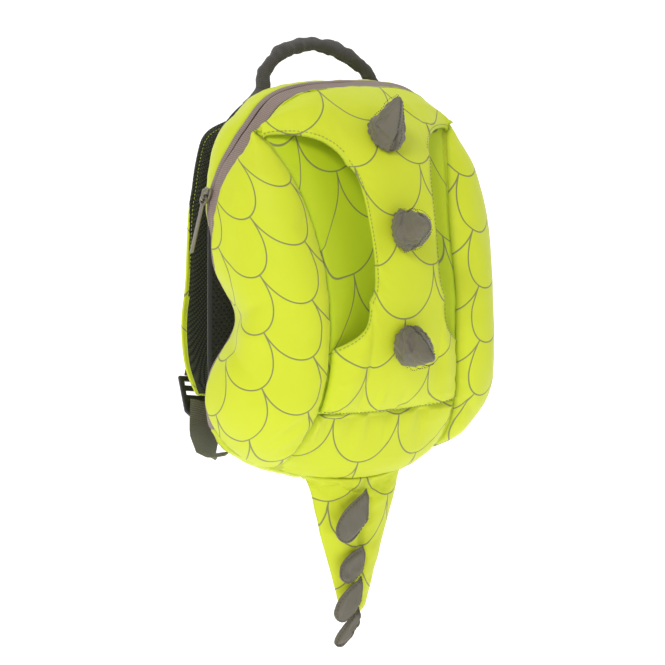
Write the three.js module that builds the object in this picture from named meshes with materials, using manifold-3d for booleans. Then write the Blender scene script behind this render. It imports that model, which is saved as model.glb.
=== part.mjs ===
// A small child's animal rucksack, hanging by its grab handle. Millimetres, +Z up, front along -Y.
// The body is a hollow shell of sewn cloth panels. A stow panel bridges its recessed front,
// three stuffed spikes stand on that panel, and a flat tail with four fins hangs below.
import * as THREE from 'three';
import { mergeVertices } from 'three/addons/utils/BufferGeometryUtils.js';
import Module from 'manifold-3d';

const wasm = await Module();
wasm.setup();

// Driving dimensions of the body.
const HALF_WIDTH = 119;
const HEIGHT = 296;
const DEPTH = 131;
const SHELL_WALL = 2;
const PANEL_GAP = 0.35;
const BACK_PAD_THICKNESS = 12;
const BACK_PAD_FACE = 6;
const RECESS_DIP = 7;
const LAYER_GAP = 0.6;
const EDGE_SET = 1.7;

// How finely the cloth panels are cut into cells, along the rim and across it.
const ARCH_CELLS = { along: 40, across: 4 };
const FOOT_CELLS = { along: 14, across: 5 };
const CHEEK_CELLS = { along: 20, across: 9 };
const CENTRE_CELLS = { along: 14, across: 8 };
const BASE_CELLS = { along: 8, across: 10 };

// Driving dimensions of the zip.
const TAPE_WALL = 1;
const FRONT_TAPE_WIDTH = 7.5;
const REAR_TAPE_WIDTH = 3.8;
const ZIP_SLIT = 0.9;
const COIL_WIDTH = 5;
const COIL_THICKNESS = 1.2;
const ZIP_END = 12.9;
const SLIDER_PLACE = 5.85;
const SLIDER_LENGTH = 11;
const SLIDER_WIDTH = 8;
const SLIDER_THICKNESS = 2.4;
const BRIDGE_WIDTH = 2.4;
const BRIDGE_POST = 1.5;
const BRIDGE_OPENING = 2.4;
const BRIDGE_ROOF = 1.2;
const SLIDER_LIFT = 0.5;
const PULLER_LENGTH = 40;
const PULLER_WIDTH = 3.4;
const PULLER_THICKNESS = 1.4;
const PULLER_RIM = 1.5;
const PULLER_EYE_RADIUS = 4.4;

// Driving dimensions of the handle, straps, spikes and tail.
const HANDLE_HALF_SPAN = 50;
const HANDLE_RADIUS = 5.8;
const HANDLE_CLEARANCE = 17;
const HANDLE_LIFT = 4.4;
const STRAP_WIDTH = 48;
const STRAP_THICKNESS = 9;
const WEBBING_WIDTH = 25;
const WEBBING_THICKNESS = 1.6;
const LOCK_LENGTH = 36;
const LOCK_WIDTH = 35;
const LOCK_THICKNESS = 3.2;
const LOCK_BAR = 4;
const LOCK_SLOT = 3.8;
const LOCK_STANDOFF = 10;
const LOCK_DROP = -0.08;
const CORNER_PLACE = 14.1;
const CORNER_SHARE = 0.5;
const CORNER_LIFT = 1.8;
const SPIKE_LENGTH = 43;
const SPIKE_HALF_HEIGHT = 15.5;
const SPIKE_HALF_WIDTH = 13;
const SPIKE_DRIFT = -0.14;
const TAIL_LENGTH = 112;
const TAIL_HALF_WIDTH = 49;
const TAIL_HALF_THICKNESS = 16;
const TAIL_MIDDLE = 61;
const TAIL_TIP_SHARE = 0.2;
const FIN_THICKNESS = 5;
const FIN_REACH = 30;
const SEAT_GAP = 0.3;

// The side pinch: the flank dips in beside the strap's lower end.
const PINCH_DEPTH = 26;
const PINCH_HEIGHT = 121;
const PINCH_SPREAD = 30;
const PINCH_FRONT_FADE = 92;

// The body's rim, where the front zip tape meets the front panels, and the edge of the back pad,
// from the top centre down the right side to the bottom centre. Shares of half width, height, depth.
const RIM = [
  { out: 0, up: 1, fwd: 0.38, backOut: 0, backUp: 0.955, full: 0.3 },
  { out: 0.32, up: 0.995, fwd: 0.38, backOut: 0.28, backUp: 0.95, full: 0.35 },
  { out: 0.57, up: 0.965, fwd: 0.385, backOut: 0.5, backUp: 0.93, full: 0.6 },
  { out: 0.756, up: 0.888, fwd: 0.395, backOut: 0.66, backUp: 0.875, full: 1.5 },
  { out: 0.84, up: 0.838, fwd: 0.38, backOut: 0.73, backUp: 0.82, full: 1.6 },
  { out: 0.9, up: 0.784, fwd: 0.355, backOut: 0.76, backUp: 0.757, full: 1.4 },
  { out: 0.945, up: 0.706, fwd: 0.32, backOut: 0.765, backUp: 0.69, full: 1 },
  { out: 0.962, up: 0.628, fwd: 0.305, backOut: 0.765, backUp: 0.618, full: 0.8 },
  { out: 0.975, up: 0.547, fwd: 0.298, backOut: 0.765, backUp: 0.544, full: 0.7 },
  { out: 0.983, up: 0.463, fwd: 0.29, backOut: 0.765, backUp: 0.463, full: 0.7 },
  { out: 0.996, up: 0.375, fwd: 0.29, backOut: 0.765, backUp: 0.378, full: 0.7 },
  { out: 1, up: 0.29, fwd: 0.282, backOut: 0.765, backUp: 0.297, full: 0.7 },
  { out: 0.985, up: 0.2, fwd: 0.275, backOut: 0.755, backUp: 0.213, full: 0.7 },
  { out: 0.91, up: 0.131, fwd: 0.28, backOut: 0.72, backUp: 0.14, full: 0.7 },
  { out: 0.79, up: 0.076, fwd: 0.31, backOut: 0.65, backUp: 0.078, full: 0.7 },
  { out: 0.62, up: 0.036, fwd: 0.4, backOut: 0.52, backUp: 0.036, full: 0.6 },
  { out: 0.36, up: 0.009, fwd: 0.52, backOut: 0.3, backUp: 0.017, full: 0.5 },
  { out: 0, up: 0, fwd: 0.57, backOut: 0, backUp: 0.012, full: 0.5 },
];
const CHEEK_TOP = 3;
const CHEEK_FOOT = 15;
const POCKET_SEAM = 12.15;

// The cheek seam, one row for each rim row from CHEEK_TOP to CHEEK_FOOT, and how far the cheek
// puffs forward before it dives to the seam. Shares as above.
const SEAM = [
  { out: 0.735, up: 0.876, fwd: 0.43, puff: 0.0 },
  { out: 0.664, up: 0.843, fwd: 0.5, puff: 0.03 },
  { out: 0.585, up: 0.775, fwd: 0.603, puff: 0.09 },
  { out: 0.533, up: 0.704, fwd: 0.676, puff: 0.13 },
  { out: 0.497, up: 0.627, fwd: 0.737, puff: 0.16 },
  { out: 0.476, up: 0.549, fwd: 0.794, puff: 0.17 },
  { out: 0.472, up: 0.463, fwd: 0.834, puff: 0.17 },
  { out: 0.47, up: 0.377, fwd: 0.841, puff: 0.165 },
  { out: 0.482, up: 0.286, fwd: 0.827, puff: 0.16 },
  { out: 0.514, up: 0.202, fwd: 0.789, puff: 0.14 },
  { out: 0.55, up: 0.137, fwd: 0.718, puff: 0.1 },
  { out: 0.577, up: 0.078, fwd: 0.611, puff: 0.05 },
  { out: 0.585, up: 0.05, fwd: 0.49, puff: 0.0 },
];

// The stow panel from the zip down to the pocket's foot: its centre line (up, fwd), the spine's
// edge (half), and the points where its sides run (mid and edge, each as out, up, fwd). The rows
// with no sides are the windows, where the spine stands alone. Shares as above.
const STOW = [
  { up: 1, fwd: 0.41, half: 0.32, mid: [0.5, 0.965, 0.41], edge: [0.74, 0.89, 0.43] },
  { up: 0.935, fwd: 0.6, half: 0.24, mid: [0.5, 0.928, 0.5], edge: [0.71, 0.88, 0.455] },
  { up: 0.83, fwd: 0.8, half: 0.26, mid: [0.47, 0.873, 0.6], edge: [0.69, 0.86, 0.485] },
  { up: 0.75, fwd: 0.88, half: 0.255 },
  { up: 0.665, fwd: 0.935, half: 0.25 },
  { up: 0.58, fwd: 0.978, half: 0.24 },
  { up: 0.5, fwd: 1, half: 0.235 },
  { up: 0.456, fwd: 1, half: 0.24, mid: [0.32, 0.388, 0.935], edge: [0.452, 0.352, 0.868] },
  { up: 0.37, fwd: 0.99, half: 0.25, mid: [0.36, 0.33, 0.935], edge: [0.456, 0.31, 0.862] },
  { up: 0.29, fwd: 0.955, half: 0.26, mid: [0.38, 0.272, 0.915], edge: [0.472, 0.26, 0.845] },
  { up: 0.22, fwd: 0.89, half: 0.265, mid: [0.39, 0.218, 0.865], edge: [0.485, 0.219, 0.828] },
  { up: 0.186, fwd: 0.825, half: 0.265, mid: [0.39, 0.19, 0.82], edge: [0.485, 0.198, 0.806] },
];
const WINDOW_TOP_ROW = 2;
const WINDOW_FOOT_ROW = 7;
const SPINE_CROWN = 0.035;

// The shoulder strap's centre line from its root to its lower end, and its half width.
// Out and half are shares of half width, up of height, behind of depth (positive behind the back pad).
const STRAP = [
  { out: 0.37, up: 0.885, behind: 0.0716, half: 1 },
  { out: 0.375, up: 0.845, behind: 0.19, half: 1 },
  { out: 0.36, up: 0.77, behind: 0.29, half: 1 },
  { out: 0.355, up: 0.69, behind: 0.345, half: 1 },
  { out: 0.385, up: 0.6, behind: 0.366, half: 1 },
  { out: 0.445, up: 0.495, behind: 0.366, half: 1 },
  { out: 0.505, up: 0.41, behind: 0.345, half: 1 },
  { out: 0.56, up: 0.33, behind: 0.3, half: 0.95 },
  { out: 0.605, up: 0.25, behind: 0.235, half: 0.8 },
  { out: 0.635, up: 0.185, behind: 0.15, half: 0.55 },
];

// The handle's centre line as shares of its half span and of its rise, from the left root over
// the top, which lies a little left of the middle, to the right root.
const HANDLE = [
  { out: -1, rise: 0 },
  { out: -0.98, rise: 0.34 },
  { out: -0.86, rise: 0.62 },
  { out: -0.62, rise: 0.87 },
  { out: -0.24, rise: 1 },
  { out: 0.16, rise: 0.93 },
  { out: 0.48, rise: 0.74 },
  { out: 0.72, rise: 0.52 },
  { out: 0.9, rise: 0.27 },
  { out: 1, rise: 0 },
];

const COLOURS = { lime: 0xe6f15b, olive: 0xc8d046, taupe: 0x88806f, tape: 0xa5918c, black: 0x2a2c1d };

const bag = new THREE.Group();

function material(colour, roughness = 0.85, metalness = 0) {
  return new THREE.MeshStandardMaterial({ color: colour, roughness, metalness });
}

function add(name, geometry, colour, roughness, metalness) {
  const mesh = new THREE.Mesh(geometry, material(colour, roughness, metalness));
  mesh.name = name;
  bag.add(mesh);
  return mesh;
}

// A point from its place to the right, its height and how far it lies in front of the back pad.
function place(out, fwd, up) {
  return new THREE.Vector3(out, -fwd, up);
}

function mirrored(point) {
  return new THREE.Vector3(-point.x, point.y, point.z);
}

// Signed volume of a closed triangle list: negative when its faces point inwards.
function signedVolume(points, faces) {
  let total = 0;
  for (const [a, b, c] of faces) {
    total += points[a].dot(new THREE.Vector3().crossVectors(points[b], points[c]));
  }
  return total / 6;
}

function solid(points, faces) {
  const turned = signedVolume(points, faces) < 0;
  const index = faces.flatMap(([a, b, c]) => (turned ? [a, c, b] : [a, b, c]));
  const geometry = new THREE.BufferGeometry();
  const flat = points.flatMap((p) => [p.x, p.y, p.z]);
  geometry.setAttribute('position', new THREE.Float32BufferAttribute(flat, 3));
  geometry.setIndex(index);
  geometry.computeVertexNormals();
  return geometry;
}

// A cloth panel: the surface at(u, v), u and v from 0 to 1, given a wall on the side away from
// outside(point). Cells that keep(column, row) turns down are left open, as windows.
function panel(at, columns, rows, wall, outside, keep = () => true) {
  const outer = [];
  const inner = [];
  const step = 0.004;
  for (let r = 0; r <= rows; r += 1) {
    for (let c = 0; c <= columns; c += 1) {
      const u = c / columns;
      const v = r / rows;
      const point = at(u, v);
      const along = at(Math.min(1, u + step), v).sub(at(Math.max(0, u - step), v));
      const across = at(u, Math.min(1, v + step)).sub(at(u, Math.max(0, v - step)));
      const normal = along.cross(across).normalize();
      if (normal.dot(outside(point)) < 0) normal.negate();
      outer.push(point);
      inner.push(point.clone().addScaledVector(normal, -wall));
    }
  }
  const used = new Map();
  const points = [];
  const number = (c, r, layer) => {
    const key = (r * (columns + 1) + c) * 2 + layer;
    if (!used.has(key)) {
      used.set(key, points.length);
      points.push((layer ? inner : outer)[r * (columns + 1) + c]);
    }
    return used.get(key);
  };
  const kept = (c, r) => c >= 0 && r >= 0 && c < columns && r < rows && keep(c, r);
  const faces = [];
  const quad = (a, b, c, d) => faces.push([a, b, c], [a, c, d]);
  for (let r = 0; r < rows; r += 1) {
    for (let c = 0; c < columns; c += 1) {
      if (!kept(c, r)) continue;
      const top = [number(c, r, 0), number(c + 1, r, 0), number(c + 1, r + 1, 0), number(c, r + 1, 0)];
      const low = [number(c, r, 1), number(c + 1, r, 1), number(c + 1, r + 1, 1), number(c, r + 1, 1)];
      quad(...top);
      quad(low[3], low[2], low[1], low[0]);
      const sides = [[0, 1, c, r - 1], [1, 2, c + 1, r], [2, 3, c, r + 1], [3, 0, c - 1, r]];
      for (const [i, j, nextColumn, nextRow] of sides) {
        if (!kept(nextColumn, nextRow)) quad(top[j], top[i], low[i], low[j]);
      }
    }
  }
  return solid(points, faces);
}

// A solid through closed rings of points, with a fan over each end.
function loft(rings) {
  const count = rings[0].length;
  const points = rings.flat();
  const faces = [];
  for (let r = 0; r < rings.length - 1; r += 1) {
    for (let c = 0; c < count; c += 1) {
      const a = r * count + c;
      const b = r * count + ((c + 1) % count);
      faces.push([a, b, b + count], [a, b + count, a + count]);
    }
  }
  const cap = (ring, start, flip) => {
    const middle = new THREE.Vector3();
    ring.forEach((p) => middle.addScaledVector(p, 1 / count));
    const tip = points.length;
    points.push(middle);
    for (let c = 0; c < count; c += 1) {
      const next = (c + 1) % count;
      faces.push(flip ? [tip, start + next, start + c] : [tip, start + c, start + next]);
    }
  };
  cap(rings[0], 0, true);
  cap(rings[rings.length - 1], (rings.length - 1) * count, false);
  return solid(points, faces);
}

// Catmull-Rom value of one column of a table at a row place, held at the ends.
function column(rows, key, at) {
  const last = rows.length - 1;
  const row = Math.min(Math.max(Math.floor(at), 0), last - 1);
  const t = at - row;
  const value = (k) => rows[Math.max(0, Math.min(last, k))][key];
  const [a, b, c, d] = [value(row - 1), value(row), value(row + 1), value(row + 2)];
  return b + 0.5 * t * (c - a + t * (2 * a - 5 * b + 4 * c - d + t * (3 * (b - c) + d - a)));
}

// The soft flank's dip, applied to every point of the body's surface.
function pinch(point) {
  const fade = 1 - THREE.MathUtils.smoothstep(-point.y, PINCH_FRONT_FADE * 0.35, PINCH_FRONT_FADE);
  const dip = PINCH_DEPTH * fade * Math.exp(-(((point.z - PINCH_HEIGHT) / PINCH_SPREAD) ** 2));
  const share = Math.min(1, Math.abs(point.x) / (HALF_WIDTH * 0.7));
  point.x -= Math.sign(point.x) * dip * share;
  return point;
}

const LOOP = (RIM.length - 1) * 2;
const bothSides = (make) => {
  const right = RIM.map(make);
  const left = right.slice(1, -1).reverse().map(mirrored);
  return new THREE.CatmullRomCurve3([...right, ...left], true, 'catmullrom', 0.5);
};
const rimCurve = bothSides((row) => place(row.out * HALF_WIDTH, row.fwd * DEPTH, row.up * HEIGHT));
const backCurve = bothSides((row) => {
  return place(row.backOut * HALF_WIDTH, BACK_PAD_FACE + SEAT_GAP, row.backUp * HEIGHT);
});
const onLoop = (curve, at) => curve.getPoint((((at % LOOP) + LOOP) % LOOP) / LOOP);

// The row place of a position anywhere on the loop, counted from the top centre.
function rimPlace(at) {
  const around = ((at % LOOP) + LOOP) % LOOP;
  return Math.min(around, LOOP - around);
}

// Outward direction of the rim in the front view.
function rimOutward(at) {
  const ahead = onLoop(rimCurve, at + 0.2).sub(onLoop(rimCurve, at - 0.2));
  return new THREE.Vector3(-ahead.z, 0, ahead.x).normalize();
}

// The flank's section at a place on the rim, from the back pad's edge forward to the rim.
function flank(at) {
  const back = onLoop(backCurve, at);
  const rim = onLoop(rimCurve, at);
  const outward = rimOutward(at);
  const rise = rim.clone().sub(back).dot(outward);
  const run = back.y - rim.y;
  const full = column(RIM, 'full', Math.min(rimPlace(at), RIM.length - 1));
  const first = back.clone().addScaledVector(outward, rise * full);
  first.y -= run * 0.14;
  const second = rim.clone();
  second.y += run * 0.45;
  return new THREE.CubicBezierCurve3(back, first, second, rim);
}

// A point on the flank, a given distance behind the rim.
function flankPoint(at, behind) {
  const section = flank(at);
  return pinch(section.getPointAt(Math.max(0, 1 - behind / section.getLength())));
}

const fromMiddle = (point) => new THREE.Vector3(point.x, 0, point.z - HEIGHT * 0.5);
const forward = () => new THREE.Vector3(0, -1, 0);

// A strip of the flank between two places on the rim and two distances behind it.
// A far distance of null reaches to the back pad.
function flankStrip(from, to, near, far, cells, wall, sink = 0) {
  const at = (u, v) => {
    const ring = from + (to - from) * u;
    const reach = far ?? flank(ring).getLength();
    const point = flankPoint(ring, near + (reach - near) * v);
    return sink ? point.addScaledVector(rimOutward(ring), -sink) : point;
  };
  return panel(at, cells.along, cells.across, wall, fromMiddle);
}

const ZIP_WIDTH = FRONT_TAPE_WIDTH + ZIP_SLIT + REAR_TAPE_WIDTH;

function makeFlank() {
  const endGap = 0.02;
  const top = flankStrip(-ZIP_END, ZIP_END, ZIP_WIDTH + 2 * PANEL_GAP, null, ARCH_CELLS, SHELL_WALL);
  add('gusset_top', top, COLOURS.lime);
  const footEnd = ZIP_END + endGap;
  const foot = flankStrip(footEnd, LOOP - footEnd, PANEL_GAP, null, FOOT_CELLS, SHELL_WALL);
  add('gusset_bottom', foot, COLOURS.lime);
}

function makeZip() {
  const slit = PANEL_GAP + FRONT_TAPE_WIDTH;
  const cells = { along: ARCH_CELLS.along, across: 1 };
  const front = flankStrip(-ZIP_END, ZIP_END, PANEL_GAP, slit, cells, TAPE_WALL);
  add('zip_tape_front', front, COLOURS.tape);
  const rearEdge = slit + ZIP_SLIT;
  const rear = flankStrip(-ZIP_END, ZIP_END, rearEdge, rearEdge + REAR_TAPE_WIDTH, cells, TAPE_WALL);
  add('zip_tape_rear', rear, COLOURS.tape);
  const near = slit + ZIP_SLIT / 2 - COIL_WIDTH / 2;
  const sink = TAPE_WALL + 3 * SEAT_GAP;
  const coilEnd = ZIP_END - 0.05;
  const coil = flankStrip(-coilEnd, coilEnd, near, near + COIL_WIDTH, cells, COIL_THICKNESS, sink);
  add('zip_coil', coil, COLOURS.tape);
}

const seamPoint = (at) => {
  const row = at - CHEEK_TOP;
  const fwd = column(SEAM, 'fwd', row) * DEPTH;
  return place(column(SEAM, 'out', row) * HALF_WIDTH, fwd, column(SEAM, 'up', row) * HEIGHT);
};

// A cheek: from the rim forward and round to the seam with the recessed front.
function cheekPoint(at, u) {
  const rim = onLoop(rimCurve, at);
  const seam = seamPoint(at);
  const span = rim.distanceTo(seam);
  const swell = 0.03 * (1 - THREE.MathUtils.smoothstep(at, 11.5, 14));
  const first = rim.clone().addScaledVector(rimOutward(at), span * swell);
  first.y -= span * 0.48;
  const second = seam.clone();
  second.x += (rim.x - seam.x) * 0.54;
  second.z += (rim.z - seam.z) * 0.5;
  second.y -= column(SEAM, 'puff', at - CHEEK_TOP) * DEPTH;
  return pinch(new THREE.CubicBezierCurve3(rim, first, second, seam).getPoint(u));
}

function makeCheek(name, side) {
  const at = (u, v) => {
    const ring = CHEEK_TOP + 0.02 + (CHEEK_FOOT - CHEEK_TOP - 0.04) * v;
    const span = onLoop(rimCurve, ring).distanceTo(seamPoint(ring));
    const inset = PANEL_GAP / Math.max(span, 4);
    const point = cheekPoint(ring, inset + (1 - 2 * inset) * u);
    return side > 0 ? point : mirrored(point);
  };
  const outside = (p) => fromMiddle(p).addScaledVector(forward(), HALF_WIDTH / 3);
  add(name, panel(at, CHEEK_CELLS.across, CHEEK_CELLS.along, SHELL_WALL, outside), COLOURS.lime);
}

// The front between the cheek seams: the recessed centre, and below the pocket the base.
function centrePoint(at, u) {
  const seam = seamPoint(at);
  const share = Math.abs(u);
  const topShare = (at - CHEEK_TOP) / (CHEEK_FOOT - CHEEK_TOP);
  const corner = seamPoint(CHEEK_TOP);
  const heel = seamPoint(CHEEK_FOOT);
  const nearTop = (1 - topShare) ** 8;
  const nearFoot = THREE.MathUtils.smoothstep(topShare, 0.72, 1) ** 1.5;
  const dip = RECESS_DIP * Math.sin(Math.PI * Math.min(1, topShare / 0.9));
  const crown = onLoop(rimCurve, CHEEK_TOP * share).sub(corner).multiplyScalar(nearTop);
  crown.x += corner.x * (1 - share) * nearTop;
  const footPlace = LOOP / 2 - (LOOP / 2 - CHEEK_FOOT) * share;
  const foot = onLoop(rimCurve, footPlace).sub(heel).multiplyScalar(nearFoot);
  foot.x += heel.x * (1 - share) * nearFoot;
  return {
    out: (seam.x * share + crown.x + foot.x) * Math.sign(u),
    up: seam.z + crown.z + foot.z,
    fwd: -seam.y - crown.y - foot.y - dip * (1 - share * share) + EDGE_SET * (nearTop + nearFoot),
  };
}

function makeFront() {
  const inset = (x, seamX) => x * (1 - PANEL_GAP / Math.max(seamX, 1));
  const centre = (u, v) => {
    const at = CHEEK_TOP + 0.03 + (POCKET_SEAM - CHEEK_TOP - 0.06) * v;
    const point = centrePoint(at, u * 2 - 1);
    return place(inset(point.out, HALF_WIDTH * 0.5), point.fwd, point.up);
  };
  const centrePanel = panel(centre, CENTRE_CELLS.across, CENTRE_CELLS.along, SHELL_WALL, forward);
  add('centre_panel', centrePanel, COLOURS.olive);
  const base = (u, v) => {
    const at = POCKET_SEAM + 0.03 + (CHEEK_FOOT - POCKET_SEAM - 0.06) * v;
    const point = centrePoint(at, u * 2 - 1);
    const belly = RECESS_DIP * (1 - v * v) * (1 - (u * 2 - 1) ** 2) * 0.7;
    const narrow = 1 - (EDGE_SET * 1.9 * v) / (HALF_WIDTH * 0.6);
    return place(inset(point.out, HALF_WIDTH * 0.5) * narrow, point.fwd + belly, point.up);
  };
  const outside = (p) => forward().add(new THREE.Vector3(0, 0, (p.z / HEIGHT - 0.2) * 6));
  add('base_panel', panel(base, BASE_CELLS.across, BASE_CELLS.along, SHELL_WALL, outside), COLOURS.lime);
}

const SIDE_CELLS = 4;
const SPINE_CELLS = 4;
const STOW_COLUMNS = 2 * SIDE_CELLS + SPINE_CELLS;
const ROW_CELLS = 2;

// The stow panel's surface. Its columns run over one side, the spine and the other side.
function stowPoint(u, v) {
  const row = v * (STOW.length - 1);
  const across = u * STOW_COLUMNS - STOW_COLUMNS / 2;
  const reach = Math.abs(across);
  const side = Math.sign(across);
  const half = column(STOW, 'half', row);
  const up = column(STOW, 'up', row);
  const fwd = column(STOW, 'fwd', row);
  const spine = SPINE_CELLS / 2;
  if (reach <= spine) {
    const share = reach / spine;
    return { out: side * share * half, up, fwd: fwd - SPINE_CROWN * share * share };
  }
  const open = row > WINDOW_TOP_ROW + 0.001 && row < WINDOW_FOOT_ROW - 0.001;
  const nearest = row < (WINDOW_TOP_ROW + WINDOW_FOOT_ROW) / 2 ? WINDOW_TOP_ROW : WINDOW_FOOT_ROW;
  const from = open ? nearest : row;
  const low = Math.floor(from + 0.0001);
  const high = Math.min(low + 1, STOW.length - 1);
  const blend = from - low;
  const mix = (key, part) => {
    const a = STOW[low][key];
    const b = STOW[high][key] ?? a;
    return a[part] + (b[part] - a[part]) * blend;
  };
  const t = (reach - spine) / SIDE_CELLS;
  const through = (a, b, c) => a * (1 - t) * (1 - 2 * t) + b * 4 * t * (1 - t) + c * t * (2 * t - 1);
  return {
    out: side * through(half, mix('mid', 0), mix('edge', 0)),
    up: through(up, mix('mid', 1), mix('edge', 1)),
    fwd: through(fwd - SPINE_CROWN, mix('mid', 2), mix('edge', 2)),
  };
}

// A point on the stow panel: its top row follows the rim, and the rest follows the table.
function onStow(u, v) {
  const point = stowPoint(u, v);
  const spot = place(point.out * HALF_WIDTH, point.fwd * DEPTH + LAYER_GAP, point.up * HEIGHT);
  const row = v * (STOW.length - 1);
  if (row >= 1) return spot;
  const across = u * 2 - 1;
  const rim = onLoop(rimCurve, CHEEK_TOP * across);
  rim.y -= SHELL_WALL + LAYER_GAP + EDGE_SET;
  return rim.lerp(spot, row);
}

function makeStowPanel() {
  const rows = (STOW.length - 1) * ROW_CELLS;
  const keep = (c, r) => {
    const inSpine = c >= SIDE_CELLS && c < SIDE_CELLS + SPINE_CELLS;
    return inSpine || r < WINDOW_TOP_ROW * ROW_CELLS || r >= WINDOW_FOOT_ROW * ROW_CELLS;
  };
  add('stow_panel', panel(onStow, STOW_COLUMNS, rows, SHELL_WALL, forward, keep), COLOURS.lime);
}

// The padded back panel: a soft-edged plate that follows the gusset's rear edge.
function makeBackPanel() {
  const sides = 40;
  const ring = (grow, behind) => {
    return Array.from({ length: sides }, (_, i) => {
      const point = onLoop(backCurve, (i / sides) * LOOP);
      const middle = new THREE.Vector3(0, 0, HEIGHT * 0.49);
      const away = point.clone().setY(0).sub(middle);
      const scaled = middle.add(away.multiplyScalar(1 + grow / away.length()));
      return new THREE.Vector3(scaled.x, BACK_PAD_FACE * -1 + behind, scaled.z);
    });
  };
  const rings = [
    ring(0.5, 0),
    ring(1.5, BACK_PAD_THICKNESS * 0.3),
    ring(-1.5, BACK_PAD_THICKNESS * 0.8),
    ring(-8, BACK_PAD_THICKNESS),
  ];
  add('back_panel', loft(rings), COLOURS.black);
}

function makeHandle() {
  const root = flank(1.4).getPointAt(0.1);
  const top = HEIGHT + HANDLE_CLEARANCE + HANDLE_RADIUS;
  const foot = root.z + HANDLE_LIFT;
  const points = HANDLE.map(({ out, rise }) => {
    return new THREE.Vector3(out * HANDLE_HALF_SPAN, root.y, foot + rise * (top - foot));
  });
  const path = new THREE.CatmullRomCurve3(points);
  const sides = 10;
  const outline = Array.from({ length: sides }, (_, i) => {
    const turn = (i / sides) * Math.PI * 2;
    return new THREE.Vector2(Math.cos(turn) * HANDLE_RADIUS, Math.sin(turn) * HANDLE_RADIUS);
  });
  const tube = new THREE.ExtrudeGeometry(new THREE.Shape(outline), { steps: 26, extrudePath: path });
  add('grab_handle', tube, COLOURS.taupe);
}

// A flat band along a table of centres, each with a half width, a half thickness and the
// directions of its width and thickness.
function band(stations) {
  const corner = 0.55;
  const outline = [[-1, 0], [-corner, -1], [corner, -1], [1, 0], [corner, 1], [-corner, 1]];
  return loft(stations.map(({ centre, wide, thick, half, deep }) => {
    return outline.map(([a, b]) => {
      return centre.clone().addScaledVector(wide, a * half).addScaledVector(thick, b * deep);
    });
  }));
}

function strapStations(side) {
  const centreAt = (row) => {
    const out = column(STRAP, 'out', row) * HALF_WIDTH * side;
    return place(out, -column(STRAP, 'behind', row) * DEPTH, column(STRAP, 'up', row) * HEIGHT);
  };
  const stations = [];
  const last = STRAP.length - 1;
  for (let i = 0; i <= last * 2; i += 1) {
    const row = i / 2;
    const ahead = centreAt(Math.min(last, row + 0.1)).sub(centreAt(Math.max(0, row - 0.1))).normalize();
    const wide = new THREE.Vector3(1, 0, 0).addScaledVector(ahead, -ahead.x).normalize();
    const thick = new THREE.Vector3().crossVectors(ahead, wide).normalize();
    const half = column(STRAP, 'half', row) * STRAP_WIDTH / 2;
    stations.push({ centre: centreAt(row), wide, thick, half, deep: STRAP_THICKNESS / 2, ahead });
  }
  return stations;
}

// The ladder lock: a plate with two slots for the webbing.
function lockGeometry() {
  const [w, l] = [LOCK_WIDTH / 2, LOCK_LENGTH / 2];
  const plate = new THREE.Shape();
  plate.moveTo(-w, l);
  plate.lineTo(w, l);
  plate.lineTo(w * 0.92, -l * 0.6);
  plate.lineTo(w * 0.5, -l);
  plate.lineTo(-w * 0.5, -l);
  plate.lineTo(-w * 0.92, -l * 0.6);
  plate.closePath();
  const halfSlot = WEBBING_WIDTH / 2 + 0.8;
  for (const top of [l - LOCK_BAR, l - 2 * LOCK_BAR - LOCK_SLOT]) {
    const hole = new THREE.Path();
    hole.moveTo(-halfSlot, top);
    hole.lineTo(-halfSlot, top - LOCK_SLOT);
    hole.lineTo(halfSlot, top - LOCK_SLOT);
    hole.lineTo(halfSlot, top);
    hole.closePath();
    plate.holes.push(hole);
  }
  const geometry = new THREE.ExtrudeGeometry(plate, { depth: LOCK_THICKNESS, bevelEnabled: false });
  geometry.translate(0, 0, -LOCK_THICKNESS / 2);
  return geometry;
}

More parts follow.
